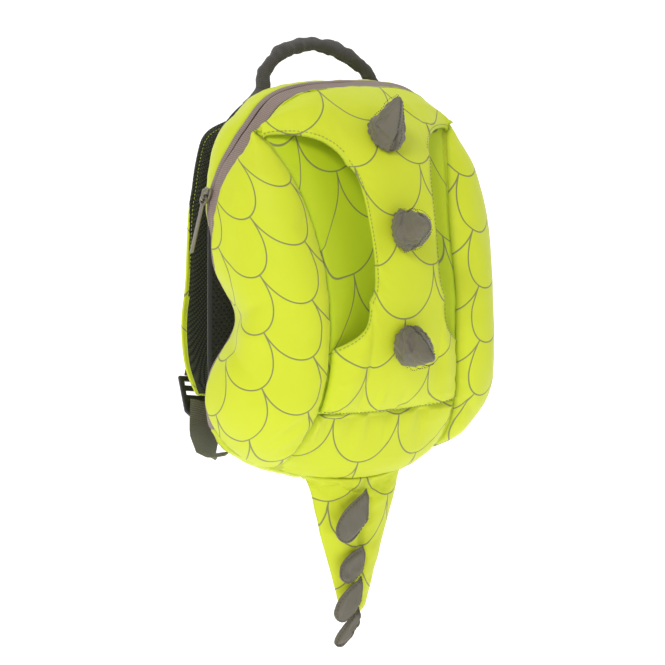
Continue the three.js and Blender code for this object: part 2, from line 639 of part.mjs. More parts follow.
// A strap and what hangs from it. The lock lies behind the strap's end, held by a short tab, and
// the webbing runs from the lock's front face down and forward to the bag's lower corner.
function makeStrap(label, side) {
  const stations = strapStations(side);
  add(`shoulder_strap_${label}`, band(stations), COLOURS.lime);
  const end = stations[stations.length - 1];
  const rear = end.thick.clone();
  if (rear.y < 0) rear.negate();

  const lock = add(`ladder_lock_${label}`, lockGeometry(), COLOURS.black, 0.5);
  const faceToLock = STRAP_THICKNESS / 2 + LOCK_STANDOFF;
  lock.position.copy(end.centre).addScaledVector(rear, faceToLock);
  lock.position.addScaledVector(end.ahead, LOCK_LENGTH * LOCK_DROP);
  const up = end.ahead.clone().negate();
  const facing = new THREE.Vector3().crossVectors(end.wide, up);
  lock.setRotationFromMatrix(new THREE.Matrix4().makeBasis(end.wide, up, facing));

  const half = WEBBING_WIDTH / 2;
  const deep = WEBBING_THICKNESS / 2;
  const lockTop = lock.position.clone().addScaledVector(up, LOCK_LENGTH / 2);
  const root = stations[stations.length - 4];
  const rootRear = root.thick.clone().multiplyScalar(Math.sign(root.thick.y));
  const lead = root.centre.clone().addScaledVector(rootRear, STRAP_THICKNESS / 2 + deep + SEAT_GAP);
  const seat = lockTop.clone().addScaledVector(up, 2 * SEAT_GAP);
  const tabWay = seat.clone().sub(lead).normalize();
  const tabThick = new THREE.Vector3().crossVectors(tabWay, end.wide).normalize();
  add(`strap_tab_${label}`, band([
    { centre: lead, wide: end.wide, thick: tabThick, half, deep },
    { centre: seat, wide: end.wide, thick: tabThick, half, deep },
  ]), COLOURS.taupe);

  const ring = side * CORNER_PLACE;
  const corner = flankPoint(ring, flank(ring).getLength() * CORNER_SHARE);
  const out = rimOutward(ring);
  const arrive = corner.clone().addScaledVector(out, CORNER_LIFT);
  const start = lock.position.clone().addScaledVector(rear, -(LOCK_THICKNESS / 2 + deep + 4 * SEAT_GAP));
  start.addScaledVector(end.ahead, LOCK_LENGTH * 0.1);
  const below = start.clone().addScaledVector(end.ahead, LOCK_LENGTH * 0.6);
  below.x += side * 4;
  const bend = arrive.clone().add(new THREE.Vector3(side * 0.74, 0.66, -0.1).multiplyScalar(15));
  const route = new THREE.CatmullRomCurve3([start, below, bend, arrive]);
  const depth = flank(ring).getLength() * CORNER_SHARE;
  const cornerWide = flankPoint(ring, depth - 4).sub(flankPoint(ring, depth + 4)).normalize();
  const startWide = end.wide.clone().multiplyScalar(side);
  const count = 12;
  add(`lower_webbing_${label}`, band(Array.from({ length: count + 1 }, (_, i) => {
    const t = i / count;
    const way = route.getTangent(t);
    const wide = startWide.clone().lerp(cornerWide, THREE.MathUtils.smoothstep(t, 0.25, 0.8));
    wide.addScaledVector(way, -wide.dot(way)).normalize();
    const thick = new THREE.Vector3().crossVectors(way, wide).normalize();
    return { centre: route.getPoint(t), wide, thick, half, deep };
  })), COLOURS.taupe);
}

function makeSpikes() {
  const spikes = [
    { name: 'spike_top', row: 1.35, rise: 48 },
    { name: 'spike_middle', row: 4.05, rise: 12 },
    { name: 'spike_lower', row: 7.95, rise: -8 },
  ];
  const profile = [
    { along: 0, size: 0.86 },
    { along: 0.1, size: 1 },
    { along: 0.35, size: 0.95 },
    { along: 0.65, size: 0.66 },
    { along: 0.88, size: 0.3 },
    { along: 1, size: 0.1 },
  ];
  const sides = 10;
  const across = new THREE.Vector3(1, 0, 0);
  for (const { name, row, rise } of spikes) {
    const v = row / (STOW.length - 1);
    const seat = onStow(0.5, v);
    const slope = onStow(0.5, v + 0.01).sub(onStow(0.5, v - 0.01)).normalize();
    const normal = across.clone().cross(slope).normalize();
    if (normal.y > 0) normal.negate();
    const lean = THREE.MathUtils.degToRad(rise);
    const aim = new THREE.Vector3(SPIKE_DRIFT, -Math.cos(lean), Math.sin(lean)).normalize();
    const rings = profile.map(({ along, size }) => {
      const lift = SEAT_GAP + SPIKE_LENGTH * along * (1 - along) * 0.5;
      const centre = seat.clone().addScaledVector(normal, lift);
      centre.addScaledVector(aim, SPIKE_LENGTH * along * (0.5 + 0.5 * along));
      const blend = Math.min(1, along * 1.5);
      const axis = normal.clone().lerp(aim, blend).normalize();
      const high = across.clone().cross(axis).normalize();
      return Array.from({ length: sides }, (_, i) => {
        const turn = (i / sides) * Math.PI * 2;
        return centre.clone()
          .addScaledVector(across, Math.cos(turn) * SPIKE_HALF_WIDTH * size)
          .addScaledVector(high, Math.sin(turn) * SPIKE_HALF_HEIGHT * size);
      });
    });
    add(name, loft(rings), COLOURS.taupe);
  }
}

const tailTop = -SEAT_GAP - 0.3;

// The tail's half width and half thickness at a share of its length.
function tailSize(share) {
  const narrow = 1 - (1 - TAIL_TIP_SHARE) * share ** 0.85;
  return { half: TAIL_HALF_WIDTH * narrow, thick: TAIL_HALF_THICKNESS * (0.35 + 0.65 * (1 - share)) };
}

function makeTail() {
  const sides = 14;
  const steps = 8;
  const rings = [];
  for (let i = 0; i <= steps; i += 1) {
    const share = i / steps;
    const { half, thick } = tailSize(share);
    const tip = i === steps ? 0.75 : 1;
    rings.push(Array.from({ length: sides }, (_, k) => {
      const turn = (k / sides) * Math.PI * 2;
      const fwd = TAIL_MIDDLE + Math.sin(turn) * thick * tip;
      return place(Math.cos(turn) * half * tip, fwd, tailTop - TAIL_LENGTH * share);
    }));
  }
  add('tail', loft(rings), COLOURS.lime);
  const fins = [
    { from: 0.05, long: 0.24, drop: 0.3, reach: 1 },
    { from: 0.45, long: 0.19, drop: 0.2, reach: 0.78 },
    { from: 0.66, long: 0.2, drop: 0.26, reach: 0.86 },
    { from: 0.88, long: 0.13, drop: 0.24, reach: 0.8 },
  ];
  fins.forEach(({ from, long, drop, reach }, i) => {
    const shape = new THREE.Shape();
    const height = long * TAIL_LENGTH;
    const fall = drop * TAIL_LENGTH;
    const side = reach * FIN_REACH;
    shape.moveTo(0, 0);
    shape.quadraticCurveTo(-side * 0.75, -fall * 0.55, -side, -fall);
    shape.quadraticCurveTo(-side * 0.5, -fall * 1.25, 0, -height);
    shape.closePath();
    const cut = { depth: FIN_THICKNESS, bevelEnabled: false, curveSegments: 5 };
    const fin = new THREE.ExtrudeGeometry(shape, cut);
    const { thick } = tailSize(from);
    const mesh = add(`tail_fin_${i + 1}`, fin, COLOURS.taupe);
    mesh.rotation.x = Math.PI / 2;
    mesh.position.set(0, -(TAIL_MIDDLE + thick + SEAT_GAP), tailTop - TAIL_LENGTH * from);
  });
}

// A geometry as a closed body that can be joined to another, and such a body as a geometry.
function closed(geometry) {
  geometry.deleteAttribute('normal');
  geometry.deleteAttribute('uv');
  const merged = mergeVertices(geometry, 0.0001);
  return new wasm.Manifold(new wasm.Mesh({
    numProp: 3,
    vertProperties: new Float32Array(merged.attributes.position.array),
    triVerts: new Uint32Array(merged.index.array),
  }));
}

function opened(body) {
  const { vertProperties, triVerts } = body.getMesh();
  const geometry = new THREE.BufferGeometry();
  geometry.setAttribute('position', new THREE.BufferAttribute(new Float32Array(vertProperties), 3));
  geometry.setIndex(new THREE.BufferAttribute(new Uint32Array(triVerts), 1));
  return geometry;
}

// The zip's slider on the left flank, with a bridge, and the puller whose eye passes under it.
function makeSlider() {
  const length = SLIDER_LENGTH / 2;
  const width = SLIDER_WIDTH / 2;
  const shield = new THREE.Shape();
  shield.moveTo(-width, length);
  shield.lineTo(width, length);
  shield.lineTo(width, 0);
  shield.lineTo(width * 0.55, -length);
  shield.lineTo(-width * 0.55, -length);
  shield.lineTo(-width, 0);
  shield.closePath();
  const body = new THREE.ExtrudeGeometry(shield, { depth: SLIDER_THICKNESS, bevelEnabled: false });

  const reach = length - 1;
  const roof = SLIDER_THICKNESS + BRIDGE_OPENING + BRIDGE_ROOF;
  const arch = new THREE.Shape();
  arch.moveTo(-reach, SLIDER_THICKNESS / 2);
  arch.lineTo(reach, SLIDER_THICKNESS / 2);
  arch.lineTo(reach, roof - 1);
  arch.lineTo(reach - 1, roof);
  arch.lineTo(1 - reach, roof);
  arch.lineTo(-reach, roof - 1);
  arch.closePath();
  const eye = new THREE.Path();
  eye.moveTo(BRIDGE_POST - reach, SLIDER_THICKNESS);
  eye.lineTo(BRIDGE_POST - reach, roof - BRIDGE_ROOF);
  eye.lineTo(reach - BRIDGE_POST, roof - BRIDGE_ROOF);
  eye.lineTo(reach - BRIDGE_POST, SLIDER_THICKNESS);
  eye.closePath();
  arch.holes.push(eye);
  const bridge = new THREE.ExtrudeGeometry(arch, { depth: BRIDGE_WIDTH, bevelEnabled: false });
  bridge.translate(0, 0, -BRIDGE_WIDTH / 2);
  bridge.rotateX(Math.PI / 2);
  bridge.rotateZ(Math.PI / 2);

  const frame = new THREE.Group();
  const ring = -SLIDER_PLACE;
  const middle = PANEL_GAP + FRONT_TAPE_WIDTH + ZIP_SLIT / 2;
  const centre = flankPoint(ring, middle);
  const down = flankPoint(ring - 0.25, middle).sub(flankPoint(ring + 0.25, middle)).normalize();
  const across = flankPoint(ring, middle - 3).sub(flankPoint(ring, middle + 3));
  const outward = new THREE.Vector3().crossVectors(down, across).normalize();
  if (outward.x > 0) outward.negate();
  const wide = new THREE.Vector3().crossVectors(outward, down);
  frame.setRotationFromMatrix(new THREE.Matrix4().makeBasis(wide, down.clone().negate(), outward));
  frame.position.copy(centre).addScaledVector(outward, SLIDER_LIFT);
  bag.add(frame);

  const joined = opened(closed(body).add(closed(bridge)));
  const slider = new THREE.Mesh(joined, material(COLOURS.taupe, 0.4, 0.8));
  slider.name = 'zip_slider';
  frame.add(slider);

  const inner = PULLER_EYE_RADIUS - PULLER_RIM;
  const bar = PULLER_WIDTH / 2;
  const meet = Math.sqrt(PULLER_EYE_RADIUS ** 2 - bar ** 2);
  const foot = -PULLER_LENGTH;
  const pull = new THREE.Shape();
  pull.moveTo(-bar, foot + 1);
  pull.lineTo(1 - bar, foot);
  pull.lineTo(bar - 1, foot);
  pull.lineTo(bar, foot + 1);
  pull.lineTo(bar, -meet);
  const start = Math.atan2(-meet, bar);
  pull.absarc(0, 0, PULLER_EYE_RADIUS, start, Math.PI - start, false);
  pull.closePath();
  const hole = new THREE.Path();
  hole.absarc(0, 0, inner, 0, Math.PI * 2, true);
  pull.holes.push(hole);
  const cut = { depth: PULLER_THICKNESS, bevelEnabled: false, curveSegments: 8 };
  const plate = new THREE.ExtrudeGeometry(pull, cut);
  const puller = new THREE.Mesh(plate, material(COLOURS.taupe, 0.4, 0.8));
  puller.name = 'zip_puller';
  const slack = (BRIDGE_OPENING - PULLER_THICKNESS) / 2;
  puller.position.set(0, PULLER_RIM / 2 - PULLER_EYE_RADIUS, SLIDER_THICKNESS + slack);
  frame.add(puller);
}

makeFlank();
makeZip();
makeCheek('cheek_right', 1);
makeCheek('cheek_left', -1);
makeFront();
makeStowPanel();
makeBackPanel();
makeHandle();
makeStrap('right', 1);
makeStrap('left', -1);
makeSpikes();
makeTail();
makeSlider();

// The origin is the point by which the bag hangs, under the handle's arch.
const hangPoint = new THREE.Vector3(0, -BACK_PAD_FACE - 2, HEIGHT + HANDLE_CLEARANCE);
bag.children.forEach((child) => child.position.sub(hangPoint));

export default bag;
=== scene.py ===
# A small child's animal rucksack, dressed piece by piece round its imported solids.
import math

import bpy
import numpy as np
from bpy.props import FloatProperty, FloatVectorProperty, IntProperty, PointerProperty
from mathutils import Matrix, Vector


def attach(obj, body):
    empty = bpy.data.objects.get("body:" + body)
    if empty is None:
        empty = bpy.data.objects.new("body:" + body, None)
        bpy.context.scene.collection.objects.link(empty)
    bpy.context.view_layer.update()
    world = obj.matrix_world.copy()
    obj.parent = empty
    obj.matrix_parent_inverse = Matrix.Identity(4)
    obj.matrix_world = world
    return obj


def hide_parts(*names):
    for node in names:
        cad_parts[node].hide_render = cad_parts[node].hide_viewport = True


bl_info = {
    "name": "Animal Rucksack",
    "version": (1, 0, 0),
    "blender": (4, 5, 0),
    "location": "3D View > Sidebar > Rucksack",
    "description": "Makes a small child's animal rucksack round its packed solids",
    "category": "Add Mesh",
}

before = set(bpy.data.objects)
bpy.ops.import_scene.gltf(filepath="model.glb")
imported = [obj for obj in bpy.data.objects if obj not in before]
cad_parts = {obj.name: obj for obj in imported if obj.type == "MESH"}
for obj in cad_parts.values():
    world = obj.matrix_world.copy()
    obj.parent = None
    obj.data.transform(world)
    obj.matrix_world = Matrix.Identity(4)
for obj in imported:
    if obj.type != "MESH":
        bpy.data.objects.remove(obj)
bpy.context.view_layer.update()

# The sizes of the part's source, in millimetres, which the cloth follows.
HALF_WIDTH = 119.0
HEIGHT = 296.0
DEPTH = 131.0
WALL = 2.0
PANEL_GAP = 0.35
BACK_PAD_FACE = 6.0
RECESS_DIP = 7.0
LAYER_GAP = 0.6
EDGE_SET = 1.7
FRONT_TAPE_WIDTH = 7.5
REAR_TAPE_WIDTH = 3.8
ZIP_SLIT = 0.9
ZIP_END = 12.9
HANG = np.array([0.0, -8.0, 313.0])

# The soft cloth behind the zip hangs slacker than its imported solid, rolls over at the zip's top,
# and tucks in behind the cheek's edge below the slider.
SLACK = ((0, 1, 2, 3, 4, 5, 6, 7, 8, 9, 10, 11, 12, 13, 14, 34),
         (0.3, 0.35, 0.55, 0.95, 0.85, 0.72, 0.6, 0.3, 0.1, 0.05, 0.05, 0.05, 0.12, 0.3, 0.5, 0.5))
ROLL = ((0, 1.5, 3, 4, 5, 5.6, 7, 34), (6.5, 7.5, 8.0, 6.5, 3.0, 1.0, 0, 0))
TUCK = {"depth": 5.5, "begins": (6.2, 7.4), "ends": (11.6, 13.2), "edge": (-2, 6)}
PINCH = {"depth": 26.0, "height": 121.0, "spread": 30.0, "fade": 92.0}
CHEEK_TOP, CHEEK_FOOT, POCKET_SEAM = 3.0, 15.0, 12.15
SPINE_CROWN = 0.035
STRAP_HALF = 24.0
STRAP_ARCH = np.array([8.0, 6.0])
HANDLE_HALF_SPAN, HANDLE_RADIUS, HANDLE_RISE = 50, 5.35, 17
SPIKE_LENGTH, SPIKE_HALF_WIDTH, SPIKE_HALF_HEIGHT = 43, 13, 15.5

# The rim and the back pad's edge: out, up, fwd, back out, back up, fullness, as shares.
RIM = np.array([
    [0, 1, 0.38, 0, 0.955, 0.3], [0.32, 0.995, 0.38, 0.28, 0.95, 0.35],
    [0.57, 0.965, 0.385, 0.5, 0.93, 0.6], [0.756, 0.888, 0.395, 0.66, 0.875, 1.5],
    [0.84, 0.838, 0.38, 0.73, 0.82, 1.6], [0.9, 0.784, 0.355, 0.76, 0.757, 1.4],
    [0.945, 0.706, 0.32, 0.765, 0.69, 1], [0.962, 0.628, 0.305, 0.765, 0.618, 0.8],
    [0.975, 0.547, 0.298, 0.765, 0.544, 0.7], [0.983, 0.463, 0.29, 0.765, 0.463, 0.7],
    [0.996, 0.375, 0.29, 0.765, 0.378, 0.7], [1, 0.29, 0.282, 0.765, 0.297, 0.7],
    [0.985, 0.2, 0.275, 0.755, 0.213, 0.7], [0.91, 0.131, 0.28, 0.72, 0.14, 0.7],
    [0.79, 0.076, 0.31, 0.65, 0.078, 0.7], [0.62, 0.036, 0.4, 0.52, 0.036, 0.6],
    [0.36, 0.009, 0.52, 0.3, 0.017, 0.5], [0, 0, 0.57, 0, 0.012, 0.5],
])
LOOP = (len(RIM) - 1) * 2

# The cheek seam: out, up, fwd, puff, as shares.
SEAM = np.array([
    [0.735, 0.876, 0.43, 0], [0.664, 0.843, 0.5, 0.03], [0.585, 0.775, 0.603, 0.09],
    [0.533, 0.704, 0.676, 0.13], [0.497, 0.627, 0.737, 0.16], [0.476, 0.549, 0.794, 0.17],
    [0.472, 0.463, 0.834, 0.17], [0.47, 0.377, 0.841, 0.165], [0.482, 0.286, 0.827, 0.16],
    [0.514, 0.202, 0.789, 0.14], [0.55, 0.137, 0.718, 0.1], [0.577, 0.078, 0.611, 0.05],
    [0.585, 0.05, 0.49, 0],
])

# The stow panel: up, fwd, half of its spine, then its mid and edge points as out, up, fwd.
NO = float("nan")
STOW = np.array([
    [1, 0.41, 0.32, 0.5, 0.965, 0.41, 0.74, 0.89, 0.43],
    [0.935, 0.6, 0.24, 0.5, 0.928, 0.5, 0.71, 0.88, 0.455],
    [0.83, 0.8, 0.26, 0.47, 0.873, 0.6, 0.69, 0.86, 0.485],
    [0.75, 0.88, 0.255, NO, NO, NO, NO, NO, NO], [0.665, 0.935, 0.25, NO, NO, NO, NO, NO, NO],
    [0.58, 0.978, 0.24, NO, NO, NO, NO, NO, NO], [0.5, 1, 0.235, NO, NO, NO, NO, NO, NO],
    [0.456, 1, 0.24, 0.32, 0.388, 0.935, 0.452, 0.352, 0.868],
    [0.37, 0.99, 0.25, 0.36, 0.33, 0.935, 0.456, 0.31, 0.862],
    [0.29, 0.955, 0.26, 0.38, 0.272, 0.915, 0.472, 0.26, 0.845],
    [0.22, 0.89, 0.265, 0.39, 0.218, 0.865, 0.485, 0.219, 0.828],
    [0.186, 0.825, 0.265, 0.39, 0.19, 0.82, 0.485, 0.198, 0.806],
])
WINDOW_TOP, WINDOW_FOOT = 2, 7

# The strap's centre line: out, up, behind, half width, as shares.
STRAP = np.array([
    [0.37, 0.885, 0.0716, 1], [0.375, 0.845, 0.19, 1], [0.36, 0.77, 0.29, 1],
    [0.355, 0.69, 0.345, 1], [0.385, 0.6, 0.366, 1], [0.445, 0.495, 0.366, 1],
    [0.505, 0.41, 0.345, 1], [0.56, 0.33, 0.3, 0.95], [0.605, 0.25, 0.235, 0.8],
    [0.635, 0.185, 0.15, 0.55],
])

# The handle's centre line: out, rise, as shares.
HANDLE = np.array([
    [-1, 0], [-0.98, 0.34], [-0.86, 0.62], [-0.62, 0.87], [-0.24, 1], [0.16, 0.93],
    [0.48, 0.74], [0.72, 0.52], [0.9, 0.27], [1, 0],
])


class RucksackCloth(bpy.types.PropertyGroup):
    """Colours and print of the cloth."""

    lime: FloatVectorProperty(name="Lime", description="Colour of the body cloth", subtype="COLOR",
                              size=4, min=0, max=1, default=(0.69, 0.75, 0.026, 1))
    # A darker, greener copy of the lime: painted shade for the recessed centre panel.
    shade: FloatVectorProperty(name="Recess lime", description="Colour of the recessed panel",
                               subtype="COLOR", size=4, min=0, max=1, default=(0.61, 0.73, 0.014, 1))
    taupe: FloatVectorProperty(name="Taupe", description="Colour of the spikes and fins", subtype="COLOR",
                               size=4, min=0, max=1, default=(0.175, 0.157, 0.118, 1))
    line: FloatVectorProperty(name="Print", description="Colour of the printed outlines", subtype="COLOR",
                              size=4, min=0, max=1, default=(0.17, 0.17, 0.1, 1))
    scale_width: FloatProperty(name="Scale width", description="Width of one printed scale",
                               default=0.055, min=0.01, unit="LENGTH")
    scale_drop: FloatProperty(name="Scale drop", description="Height of one row of printed scales",
                              default=0.0375, min=0.01, unit="LENGTH")
    line_width: FloatProperty(name="Line width", description="Width of the printed outlines",
                              default=0.0011, min=0.0002, unit="LENGTH")


class RucksackSewing(bpy.types.PropertyGroup):
    """Seams, folds and stitches."""

    roll: FloatProperty(name="Seam roll", description="How far an edge turns in at a seam",
                        default=0.0015, min=0, unit="LENGTH")
    pucker: FloatProperty(name="Pucker", description="Height of the puckers along seams",
                          default=0.00055, min=0, unit="LENGTH")
    softness: FloatProperty(name="Softness", description="Height of the cloth's broad waves",
                            default=0.0011, min=0, unit="LENGTH")
    stitch_pitch: FloatProperty(name="Stitch pitch", description="Distance from stitch to stitch",
                                default=0.003, min=0.001, unit="LENGTH")
    seed: IntProperty(name="Seed", description="Changes the cloth's waves", default=5, min=0)


class RucksackStage(bpy.types.PropertyGroup):
    """The camera and the light."""

    azimuth: FloatProperty(name="Azimuth", description="Turn of the camera about the upright axis",
                           default=math.radians(-35), subtype="ANGLE")
    elevation: FloatProperty(name="Elevation", description="Height of the camera above the horizon",
                             default=math.radians(8.5), subtype="ANGLE")
    roll: FloatProperty(name="Roll", description="Turn of the picture", default=math.radians(0.6),
                        subtype="ANGLE")
    distance: FloatProperty(name="Distance", description="From the camera to its target",
                            default=2.0, min=0.5, unit="LENGTH")


# Noise, tables and curves.
def noise(x, y, seed=0):
    """Smooth value noise from -1 to 1."""
    x, y = np.broadcast_arrays(np.asarray(x, float), np.asarray(y, float))
    xi, yi = np.floor(x).astype(np.int64), np.floor(y).astype(np.int64)
    xf, yf = x - xi, y - yi

    def corner(i, j):
        n = (i * 374761393 + j * 668265263 + seed * 974634777) & 0xFFFFFFFF
        n = ((n ^ (n >> 13)) * 1274126177) & 0xFFFFFFFF
        return ((n ^ (n >> 16)) & 0xFFFF) / 32767.5 - 1

    u, v = xf ** 3 * (xf * (6 * xf - 15) + 10), yf ** 3 * (yf * (6 * yf - 15) + 10)
    low = corner(xi, yi) * (1 - u) + corner(xi + 1, yi) * u
    high = corner(xi, yi + 1) * (1 - u) + corner(xi + 1, yi + 1) * u
    return low * (1 - v) + high * v


def smoothstep(x, low, high):
    t = np.clip((np.asarray(x, float) - low) / (high - low), 0, 1)
    return t * t * (3 - 2 * t)


def column(values, at):
    """Catmull-Rom value of a column of numbers at a row place, held at the ends."""
    values = np.asarray(values, float)
    at = np.asarray(at, float)
    last = len(values) - 1
    row = np.clip(np.floor(at).astype(int), 0, last - 1)
    t = at - row
    if values.ndim > 1:
        t = t[..., None]
    a, b, c, d = (values[np.clip(row + k, 0, last)] for k in (-1, 0, 1, 2))
    return b + 0.5 * t * (c - a + t * (2 * a - 5 * b + 4 * c - d + t * (3 * (b - c) + d - a)))


def on_loop(points, at):
    at = np.mod(np.asarray(at, float), LOOP)
    row = np.floor(at).astype(int)
    t = (at - row)[..., None]
    a, b, c, d = (points[(row + k) % LOOP] for k in (-1, 0, 1, 2))
    return b + 0.5 * t * (c - a + t * (2 * a - 5 * b + 4 * c - d + t * (3 * (b - c) + d - a)))


def both_sides(right):
    left = right[1:-1][::-1] * np.array([-1.0, 1, 1])
    return np.vstack([right, left])


RIM_LOOP = both_sides(np.stack([RIM[:, 0] * HALF_WIDTH, -RIM[:, 2] * DEPTH, RIM[:, 1] * HEIGHT], 1))
BACK_LOOP = both_sides(np.stack([
    RIM[:, 3] * HALF_WIDTH, np.full(len(RIM), -(BACK_PAD_FACE + 0.3)), RIM[:, 4] * HEIGHT], 1))


def unit(v):
    return v / np.maximum(np.linalg.norm(v, axis=-1, keepdims=True), 1e-9)


def rim_outward(at):
    ahead = on_loop(RIM_LOOP, np.asarray(at) + 0.2) - on_loop(RIM_LOOP, np.asarray(at) - 0.2)
    return unit(np.stack([-ahead[..., 2], np.zeros(np.shape(at)), ahead[..., 0]], -1))


def rolled(at, share=1.0):
    """How the rim rolls in towards the front at the zip's top, as a move of its points."""
    around = np.mod(np.asarray(at, float), LOOP)
    depth = np.interp(np.minimum(around, LOOP - around), *ROLL)
    return -rim_outward(at) * (depth * share)[..., None]


def bezier(a, b, c, d, t):
    return a * (1 - t) ** 3 + 3 * b * t * (1 - t) ** 2 + 3 * c * t * t * (1 - t) + d * t ** 3


def pinched(points):
    fade = 1 - smoothstep(-points[..., 1], PINCH["fade"] * 0.35, PINCH["fade"])
    dip = PINCH["depth"] * fade * np.exp(-((points[..., 2] - PINCH["height"]) / PINCH["spread"]) ** 2)
    share = np.minimum(1, np.abs(points[..., 0]) / (HALF_WIDTH * 0.7))
    out = points.copy()
    out[..., 0] -= np.sign(points[..., 0]) * dip * share
    return out


def flank(at, behind=None, share=None):
    """Points on the flank, given distances behind the rim or shares of the way to the back pad."""
    at = np.atleast_1d(np.asarray(at, float))
    back, rim, outward = on_loop(BACK_LOOP, at), on_loop(RIM_LOOP, at), rim_outward(at)
    rise = ((rim - back) * outward).sum(-1)
    run = back[:, 1] - rim[:, 1]
    around = np.mod(at, LOOP)
    full = np.interp(np.minimum(around, LOOP - around), *SLACK)
    first = back + outward * (rise * full)[:, None]
    first[:, 1] -= run * 0.14
    second = rim.copy()
    second[:, 1] += run * 0.45
    t = np.linspace(0, 1, 97)[None, :, None]
    line = bezier(back[:, None], first[:, None], second[:, None], rim[:, None], t)
    steps = np.linalg.norm(np.diff(line, axis=1), axis=2)
    length = np.concatenate([np.zeros((len(at), 1)), np.cumsum(steps, 1)], 1)
    total = length[:, -1]
    result = []
    for k in range(len(at)):
        want = total[k] - behind if share is None else total[k] * (1 - np.asarray(share))
        if share is None and np.ndim(behind) > 1:
            want = total[k] - behind[k]
        near = np.clip(1 - (total[k] - want) / 22, 0, 1) ** 1.5
        spot = np.stack([np.interp(want, length[k], line[k, :, j]) for j in range(3)], -1)
        beyond = np.maximum(want - total[k], 0)[..., None]
        spot = spot + beyond * (unit(line[k, -1] - line[k, -2]) - 0.45 * outward[k])
        below = min(around[k], LOOP - around[k])
        tuck = TUCK["depth"] * smoothstep(below, *TUCK["begins"]) * (1 - smoothstep(below, *TUCK["ends"]))
        tuck = tuck * smoothstep(total[k] - want, *TUCK["edge"])
        tuck = tuck * (1 - smoothstep((total[k] - want) / total[k], 0.5, 1))
        result.append(spot + rolled(at[k]) * near[..., None] - outward[k] * tuck[..., None])
    return pinched(np.array(result)), total


def seam_point(at):
    row = np.asarray(at, float) - CHEEK_TOP
    return np.stack([column(SEAM[:, 0], row) * HALF_WIDTH, -column(SEAM[:, 2], row) * DEPTH,
                     column(SEAM[:, 1], row) * HEIGHT], -1)


def cheek_grid(rings, shares):
    rim, seam = on_loop(RIM_LOOP, rings), seam_point(rings)
    span = np.linalg.norm(rim - seam, axis=1)
    swell = 0.03 * (1 - smoothstep(rings, 11.5, 14))
    first = rim + rim_outward(rings) * (span * swell)[:, None]
    first[:, 1] -= span * 0.48
    second = seam.copy()
    second[:, 0] += (rim[:, 0] - seam[:, 0]) * 0.54
    second[:, 2] += (rim[:, 2] - seam[:, 2]) * 0.5
    second[:, 1] -= column(SEAM[:, 3], rings - CHEEK_TOP) * DEPTH
    inset = PANEL_GAP / np.maximum(span, 4)
    u = inset[:, None] + (1 - 2 * inset[:, None]) * shares[None]
    surface = bezier(rim[:, None], first[:, None], second[:, None], seam[:, None], u[..., None])
    return pinched(surface + rolled(rings)[:, None] * ((1 - shares) ** 2.5)[None, :, None])


def centre_grid(rings, across, belly=0.0, narrow=0.0):
    """The recessed front and its base between the cheek seams; across runs from -1 to 1."""
    at, u = np.meshgrid(rings, across, indexing="ij")
    share = np.abs(u)
    seam = seam_point(at)
    way = (at - CHEEK_TOP) / (CHEEK_FOOT - CHEEK_TOP)
    corner, heel = seam_point(CHEEK_TOP), seam_point(CHEEK_FOOT)
    near_top = np.maximum(1 - way, 0) ** 8
    near_foot = smoothstep(way, 0.72, 1) ** 1.5
    dip = RECESS_DIP * np.sin(np.pi * np.minimum(1, way / 0.9))
    crown = (on_loop(RIM_LOOP, CHEEK_TOP * share) - corner) * near_top[..., None]
    crown[..., 0] += corner[0] * (1 - share) * near_top
    foot = (on_loop(RIM_LOOP, LOOP / 2 - (LOOP / 2 - CHEEK_FOOT) * share) - heel) * near_foot[..., None]
    foot[..., 0] += heel[0] * (1 - share) * near_foot
    crown = crown + rolled(CHEEK_TOP * share) * near_top[..., None]
    down = (rings - rings[0]) / (rings[-1] - rings[0])
    down = np.broadcast_to(down[:, None], at.shape)
    out = (seam[..., 0] * share + crown[..., 0] + foot[..., 0]) * np.sign(u)
    out = out * 1.008
    out = out * (1 - narrow * down / (HALF_WIDTH * 0.6))
    up = seam[..., 2] + crown[..., 2] + foot[..., 2]
    fwd = -seam[..., 1] - crown[..., 1] - foot[..., 1] - dip * (1 - share ** 2)
    fwd = fwd + EDGE_SET * (near_top + near_foot) + belly * (1 - down ** 2) * (1 - u ** 2)
    return np.stack([out, -fwd, up], -1)


def stow_grid(rows, across):
    """The stow panel; rows run from 0 to 11, across from -6 to 6 with the spine inside -2 to 2."""
    last = len(STOW) - 1
    grid = np.zeros((len(rows), len(across), 3))
    for r, row in enumerate(rows):
        up, fwd, half = (float(column(STOW[:, k], row)) for k in range(3))
        opened = WINDOW_TOP + 0.001 < row < WINDOW_FOOT - 0.001
        nearest = WINDOW_TOP if row < (WINDOW_TOP + WINDOW_FOOT) / 2 else WINDOW_FOOT
        from_row = nearest if opened else row
        low = int(math.floor(from_row + 0.0001))
        high = min(low + 1, last)
        blend = from_row - low
        a = STOW[low, 3:]
        b = np.where(np.isnan(STOW[high, 3:]), a, STOW[high, 3:])
        mid_edge = a + (b - a) * blend
        for c, place in enumerate(across):
            reach, side = abs(place), np.sign(place)
            if reach <= 2:
                share = reach / 2
                spot = [side * share * half, up, fwd - SPINE_CROWN * share ** 2]
            else:
                t = (reach - 2) / 4
                weights = ((1 - t) * (1 - 2 * t), 4 * t * (1 - t), t * (2 * t - 1))
                spot = [sum(w * v for w, v in zip(weights, trio)) for trio in (
                    (half, mid_edge[0], mid_edge[3]), (up, mid_edge[1], mid_edge[4]),
                    (fwd - SPINE_CROWN, mid_edge[2], mid_edge[5]))]
                spot[0] *= side
            point = np.array([spot[0] * HALF_WIDTH, -(spot[2] * DEPTH + LAYER_GAP), spot[1] * HEIGHT])
            if row < 1:
                rim = on_loop(RIM_LOOP, np.array([CHEEK_TOP * place / 6]))[0] + rolled(CHEEK_TOP * place / 6)
                rim[1] -= WALL + LAYER_GAP + EDGE_SET
                point = rim + (point - rim) * row
            grid[r, c] = point
    return grid


